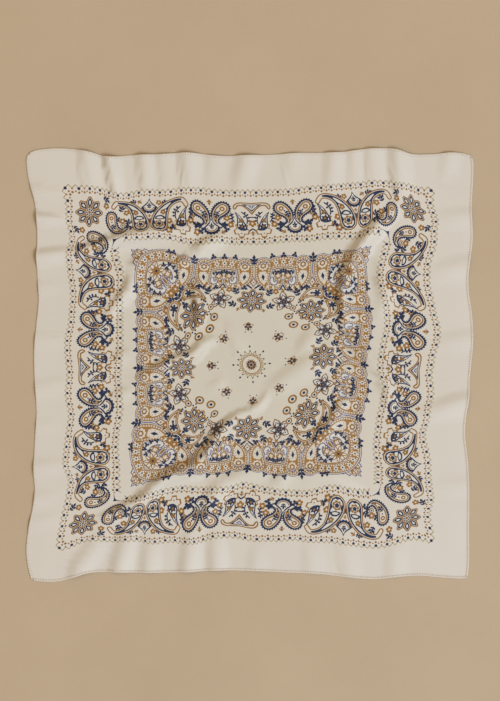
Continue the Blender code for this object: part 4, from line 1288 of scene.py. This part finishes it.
def build_hems(lay, edge, material, thread):
    """The four rolled hems and the whip stitches over them."""
    loops, middle, out, up = hem_loops(lay, edge)
    cells = len(edge) // 4
    pieces = []
    for k, side in enumerate(("front", "right", "back", "left")):
        index = np.arange(k * cells, (k + 1) * cells + 1) % len(edge)
        chain = loops[index].copy()
        chain[0] += (chain[1] - chain[0]) * HEM_PART
        chain[-1] += (chain[-2] - chain[-1]) * HEM_PART
        hem = add_mesh(f"rolled_hem_{side}", *bar(chain), [material])
        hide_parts(f"hem_{side}")
        pieces.append(hem)
        verts, faces = stitches(middle[index], out[index], up[index])
        pieces.append(add_mesh(f"whip_stitches_{side}", verts, faces, [thread]))
    return pieces


def stitches(middle, out, up):
    """Turns of thread over one hem, evenly spaced, each with its end in the cloth."""
    steps = np.linalg.norm(np.diff(middle, axis=0), axis=1)
    stations = np.concatenate([[0.0], np.cumsum(steps)])
    count = int(stations[-1] / STITCH_PITCH)
    at = (np.arange(count) + 0.5) * stations[-1] / count

    def read(values):
        return np.stack([np.interp(at, stations, column) for column in values.T], axis=1)

    place, outward, upward = read(middle), read(out), read(up)
    runs = np.cross(upward, outward)
    wide, high = (HEM_WIDE + STITCH_THICK) / 2, (HEM_HIGH + STITCH_THICK) / 2
    turns = np.radians(STITCH_TURNS)
    path = [(-HEM_WIDE / 2 - STITCH_BITE, SILK - HEM_HIGH / 2, -0.5),
            (-HEM_WIDE / 2 - STITCH_BITE / 2, SILK + STITCH_THICK / 2 - HEM_HIGH / 2, -0.45)]
    path += [(wide * math.cos(a), high * math.sin(a), lean)
             for a, lean in zip(turns, np.linspace(-0.35, 0.5, len(turns)))]
    verts, faces = [], []
    angles = np.linspace(0, math.tau, THREAD_SIDES, endpoint=False)
    for k in range(count):
        points = np.array([
            place[k] + across * outward[k] + rise * upward[k] + STITCH_LEAN * lean * runs[k]
            for across, rise, lean in path
        ])
        loops = []
        for j, point in enumerate(points):
            tangent = points[min(j + 1, len(points) - 1)] - points[max(j - 1, 0)]
            tangent /= np.linalg.norm(tangent)
            across = np.cross(tangent, runs[k])
            across /= np.linalg.norm(across)
            beside = np.cross(tangent, across)
            thick = STITCH_THICK / 2 * (STITCH_END if j in (0, len(points) - 1) else 1.0)
            loops.append([point + thick * (math.cos(a) * across + math.sin(a) * beside)
                          for a in angles])
        part_verts, part_faces = bar(np.array(loops))
        faces.append(part_faces + len(part_verts) * k)
        verts.append(part_verts)
    return np.concatenate(verts), np.concatenate(faces)


# ---------------------------------------------------------------------------
# Materials.
# ---------------------------------------------------------------------------

def srgb(red, green, blue):
    """A linear colour from usual 0 to 255 values."""
    return (*(((c / 255 + 0.055) / 1.055) ** 2.4 for c in (red, green, blue)), 1.0)


class Nodes:
    """A small helper that adds linked nodes to a new material."""

    def __init__(self, name):
        self.material = bpy.data.materials.new(name)
        self.material.use_nodes = True
        self.tree = self.material.node_tree
        self.shader = self.tree.nodes["Principled BSDF"]

    def add(self, kind, settings=None, **inputs):
        node = self.tree.nodes.new(kind)
        for key, value in (settings or {}).items():
            setattr(node, key, value)
        for key, value in inputs.items():
            self.feed(node.inputs[key.replace("_", " ")], value)
        return node

    def feed(self, socket, value):
        if isinstance(value, bpy.types.NodeSocket):
            self.tree.links.new(value, socket)
        else:
            socket.default_value = value

    def shade(self, **inputs):
        for key, value in inputs.items():
            self.feed(self.shader.inputs[key.replace("_", " ")], value)
        return self.material

    def place(self):
        return self.add("ShaderNodeTexCoord").outputs["Object"]

    def stretched(self, scale, turn=0.0):
        mapping = self.add("ShaderNodeMapping", Vector=self.place())
        mapping.inputs["Scale"].default_value = scale
        mapping.inputs["Rotation"].default_value = (0.0, 0.0, turn)
        return mapping.outputs["Vector"]

    def noise(self, vector, scale, detail=2.0, roughness=0.5):
        return self.add("ShaderNodeTexNoise", Vector=vector, Scale=scale, Detail=detail,
                        Roughness=roughness).outputs["Fac"]

    def between(self, value, low, high):
        node = self.add("ShaderNodeMapRange", Value=value)
        node.inputs["To Min"].default_value = low
        node.inputs["To Max"].default_value = high
        return node.outputs["Result"]

    def maths(self, operation, first, second):
        node = self.add("ShaderNodeMath", {"operation": operation})
        self.feed(node.inputs[0], first)
        self.feed(node.inputs[1], second)
        return node.outputs["Value"]

    def blend(self, share, first, second):
        node = self.add("ShaderNodeMix", {"data_type": "RGBA"})
        self.feed(node.inputs[0], share)
        self.feed(node.inputs[6], first)
        self.feed(node.inputs[7], second)
        return node.outputs[2]

    def patch(self, centre, reach):
        """A share that falls from 1 at `centre` to 0 at `reach` from it."""
        away = self.add("ShaderNodeVectorMath", {"operation": "DISTANCE"})
        self.feed(away.inputs[0], self.place())
        self.feed(away.inputs[1], (*centre, 0.0))
        near = self.add("ShaderNodeMapRange", {"interpolation_type": "SMOOTHSTEP"},
                        Value=away.outputs["Value"])
        ranges = {"From Min": 0.0, "From Max": reach, "To Min": 1.0, "To Max": 0.0}
        for key, value in ranges.items():
            self.feed(near.inputs[key], value)
        return near.outputs["Result"]


def weave(nodes, strength, distance):
    """Warp and weft threads with slubs, as a bump."""
    threads = [
        nodes.add("ShaderNodeTexWave", {"bands_direction": axis, "wave_profile": "SIN"},
                  Vector=nodes.place(), Scale=WEAVE_SCALE, Distortion=0.4,
                  Detail=1.0).outputs["Fac"]
        for axis in ("X", "Y")
    ]
    slubs = nodes.noise(nodes.stretched((60.0, 2200.0, 60.0)), 1.0, 1.0)
    height = nodes.maths("ADD", nodes.maths("MULTIPLY", threads[0], threads[1]), slubs)
    return nodes.add("ShaderNodeBump", Height=height, Strength=strength,
                     Distance=distance).outputs["Normal"]


def silk(name, colour, roughness=0.5, sheen=0.35, strength=0.35, mottled=None, middle=None):
    """Printed or plain silk.

    `mottled` is a second tone that drifts over the first, and `middle` is painted shade: a
    darker tone that both turn to in the cloth's middle.
    """
    nodes = Nodes(name)
    rough = nodes.noise(nodes.place(), 140.0, 3.0)
    nodes.shade(
        Roughness=nodes.between(rough, roughness - 0.07, roughness + 0.07),
        Normal=weave(nodes, strength, 0.00006),
        Base_Color=colour,
        Sheen_Weight=sheen,
        Sheen_Roughness=0.45,
        Sheen_Tint=(1.0, 0.96, 0.9, 1.0),
        Specular_IOR_Level=0.35,
    )
    if mottled:
        drift = nodes.maths(
            "ADD",
            nodes.maths("MULTIPLY", nodes.noise(nodes.place(), 7.0, 3.0), 0.7),
            nodes.maths("MULTIPLY", nodes.noise(nodes.stretched((30.0, 420.0, 30.0)), 1.0), 0.3),
        )
        tone = nodes.blend(drift, colour, mottled)
        # Painted shade: the ground's colour darkens towards the cloth's middle.
        if middle:
            tone = nodes.blend(nodes.patch((0.0, 0.0), MIDDLE_SHADE_REACH), tone, middle)
        nodes.shade(Base_Color=tone)
    return nodes.material


def thread_material():
    """Twisted sewing thread."""
    nodes = Nodes("whip_thread")
    fibre = nodes.noise(nodes.stretched((900.0, 900.0, 2600.0), 0.7), 1.0, 3.0)
    tone = nodes.noise(nodes.place(), 400.0, 1.0)
    bump = nodes.add("ShaderNodeBump", Height=fibre, Strength=0.6, Distance=0.0001)
    return nodes.shade(
        Base_Color=nodes.blend(tone, srgb(199, 184, 169), srgb(219, 208, 195)),
        Roughness=nodes.between(fibre, 0.45, 0.7), Normal=bump.outputs["Normal"],
        Sheen_Weight=0.2, Specular_IOR_Level=0.4,
    )


def floor_material():
    """Plain fine-grained sand-coloured plaster."""
    nodes = Nodes("pale_floor")
    drift = nodes.noise(nodes.place(), 5.0, 5.0, 0.6)
    grain = nodes.noise(nodes.place(), 420.0, 3.0, 0.6)
    share = nodes.maths("ADD", nodes.maths("MULTIPLY", drift, 0.7),
                        nodes.maths("MULTIPLY", grain, 0.3))
    colour = nodes.blend(share, FLOOR_DEEP, FLOOR_PLAIN)
    bump = nodes.add("ShaderNodeBump", Height=grain, Strength=0.25, Distance=0.0006)
    return nodes.shade(Base_Color=colour, Roughness=0.85, Normal=bump.outputs["Normal"],
                       Specular_IOR_Level=0.2)


# ---------------------------------------------------------------------------
# Floor, light and camera.
# ---------------------------------------------------------------------------

def build_floor():
    corners = [(x * FLOOR_HALF, y * FLOOR_HALF, FLOOR_HEIGHT)
               for x, y in ((-1, -1), (1, -1), (1, 1), (-1, 1))]
    floor = add_mesh("floor", corners, [(0, 1, 2), (0, 2, 3)], [floor_material()], smooth=False)


def area_light(name, place, size, watts, colour):
    """A square area light at `place` that shines at the scarf's middle."""
    light = bpy.data.lights.new(name, "AREA")
    light.shape = "SQUARE"
    light.size = size
    light.energy = watts
    light.color = colour
    thing = bpy.data.objects.new(name, light)
    thing.location = place
    thing.rotation_euler = (-Vector(place)).to_track_quat("-Z", "Y").to_euler()
    bpy.context.scene.collection.objects.link(thing)


def light_scene():
    area_light("key", KEY_PLACE, KEY_SIZE, KEY_WATTS, KEY_COLOUR)
    area_light("fill", FILL_PLACE, FILL_SIZE, FILL_WATTS, FILL_COLOUR)
    world = bpy.data.worlds.new("studio")
    world.use_nodes = True
    background = world.node_tree.nodes["Background"]
    background.inputs["Color"].default_value = WORLD_COLOUR
    background.inputs["Strength"].default_value = WORLD_STRENGTH
    bpy.context.scene.world = world
    bpy.context.scene.view_settings.view_transform = "Standard"


def place_camera(middle):
    """Straight above, with the photograph's framing."""
    camera = bpy.data.cameras.new("camera")
    camera.sensor_fit = "HORIZONTAL"
    camera.sensor_width = SENSOR
    camera.lens = SENSOR * CAMERA_HEIGHT / FRAME_WIDTH
    thing = bpy.data.objects.new("camera", camera)
    thing.location = (FRAME_MIDDLE[0] - middle[0], FRAME_MIDDLE[1] - middle[1], CAMERA_HEIGHT)
    bpy.context.scene.collection.objects.link(thing)
    bpy.context.scene.camera = thing


def main():
    lay = Lay()
    # The ground's middle tone is painted shade, darker towards the cloth's middle.
    inks = [silk("silk_ground", srgb(216, 213, 206), mottled=srgb(206, 202, 193),
                 middle=srgb(204, 200, 187))]
    inks += [silk(name, srgb(*colour), INK_ROUGH, sheen, INK_WEAVE)
             for name, colour, sheen in INKS]
    cloth, edge = build_cloth(lay, inks)
    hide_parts("cloth")
    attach(cloth, "root")
    hem_silk = silk("hem_silk", srgb(219, 214, 205), 0.5, 0.35, 0.3, mottled=srgb(209, 203, 193))
    pieces = build_hems(lay, edge, hem_silk, thread_material())
    for piece in pieces:
        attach(piece, "root")
    build_floor()
    light_scene()
    place_camera(lay.middle)


main()
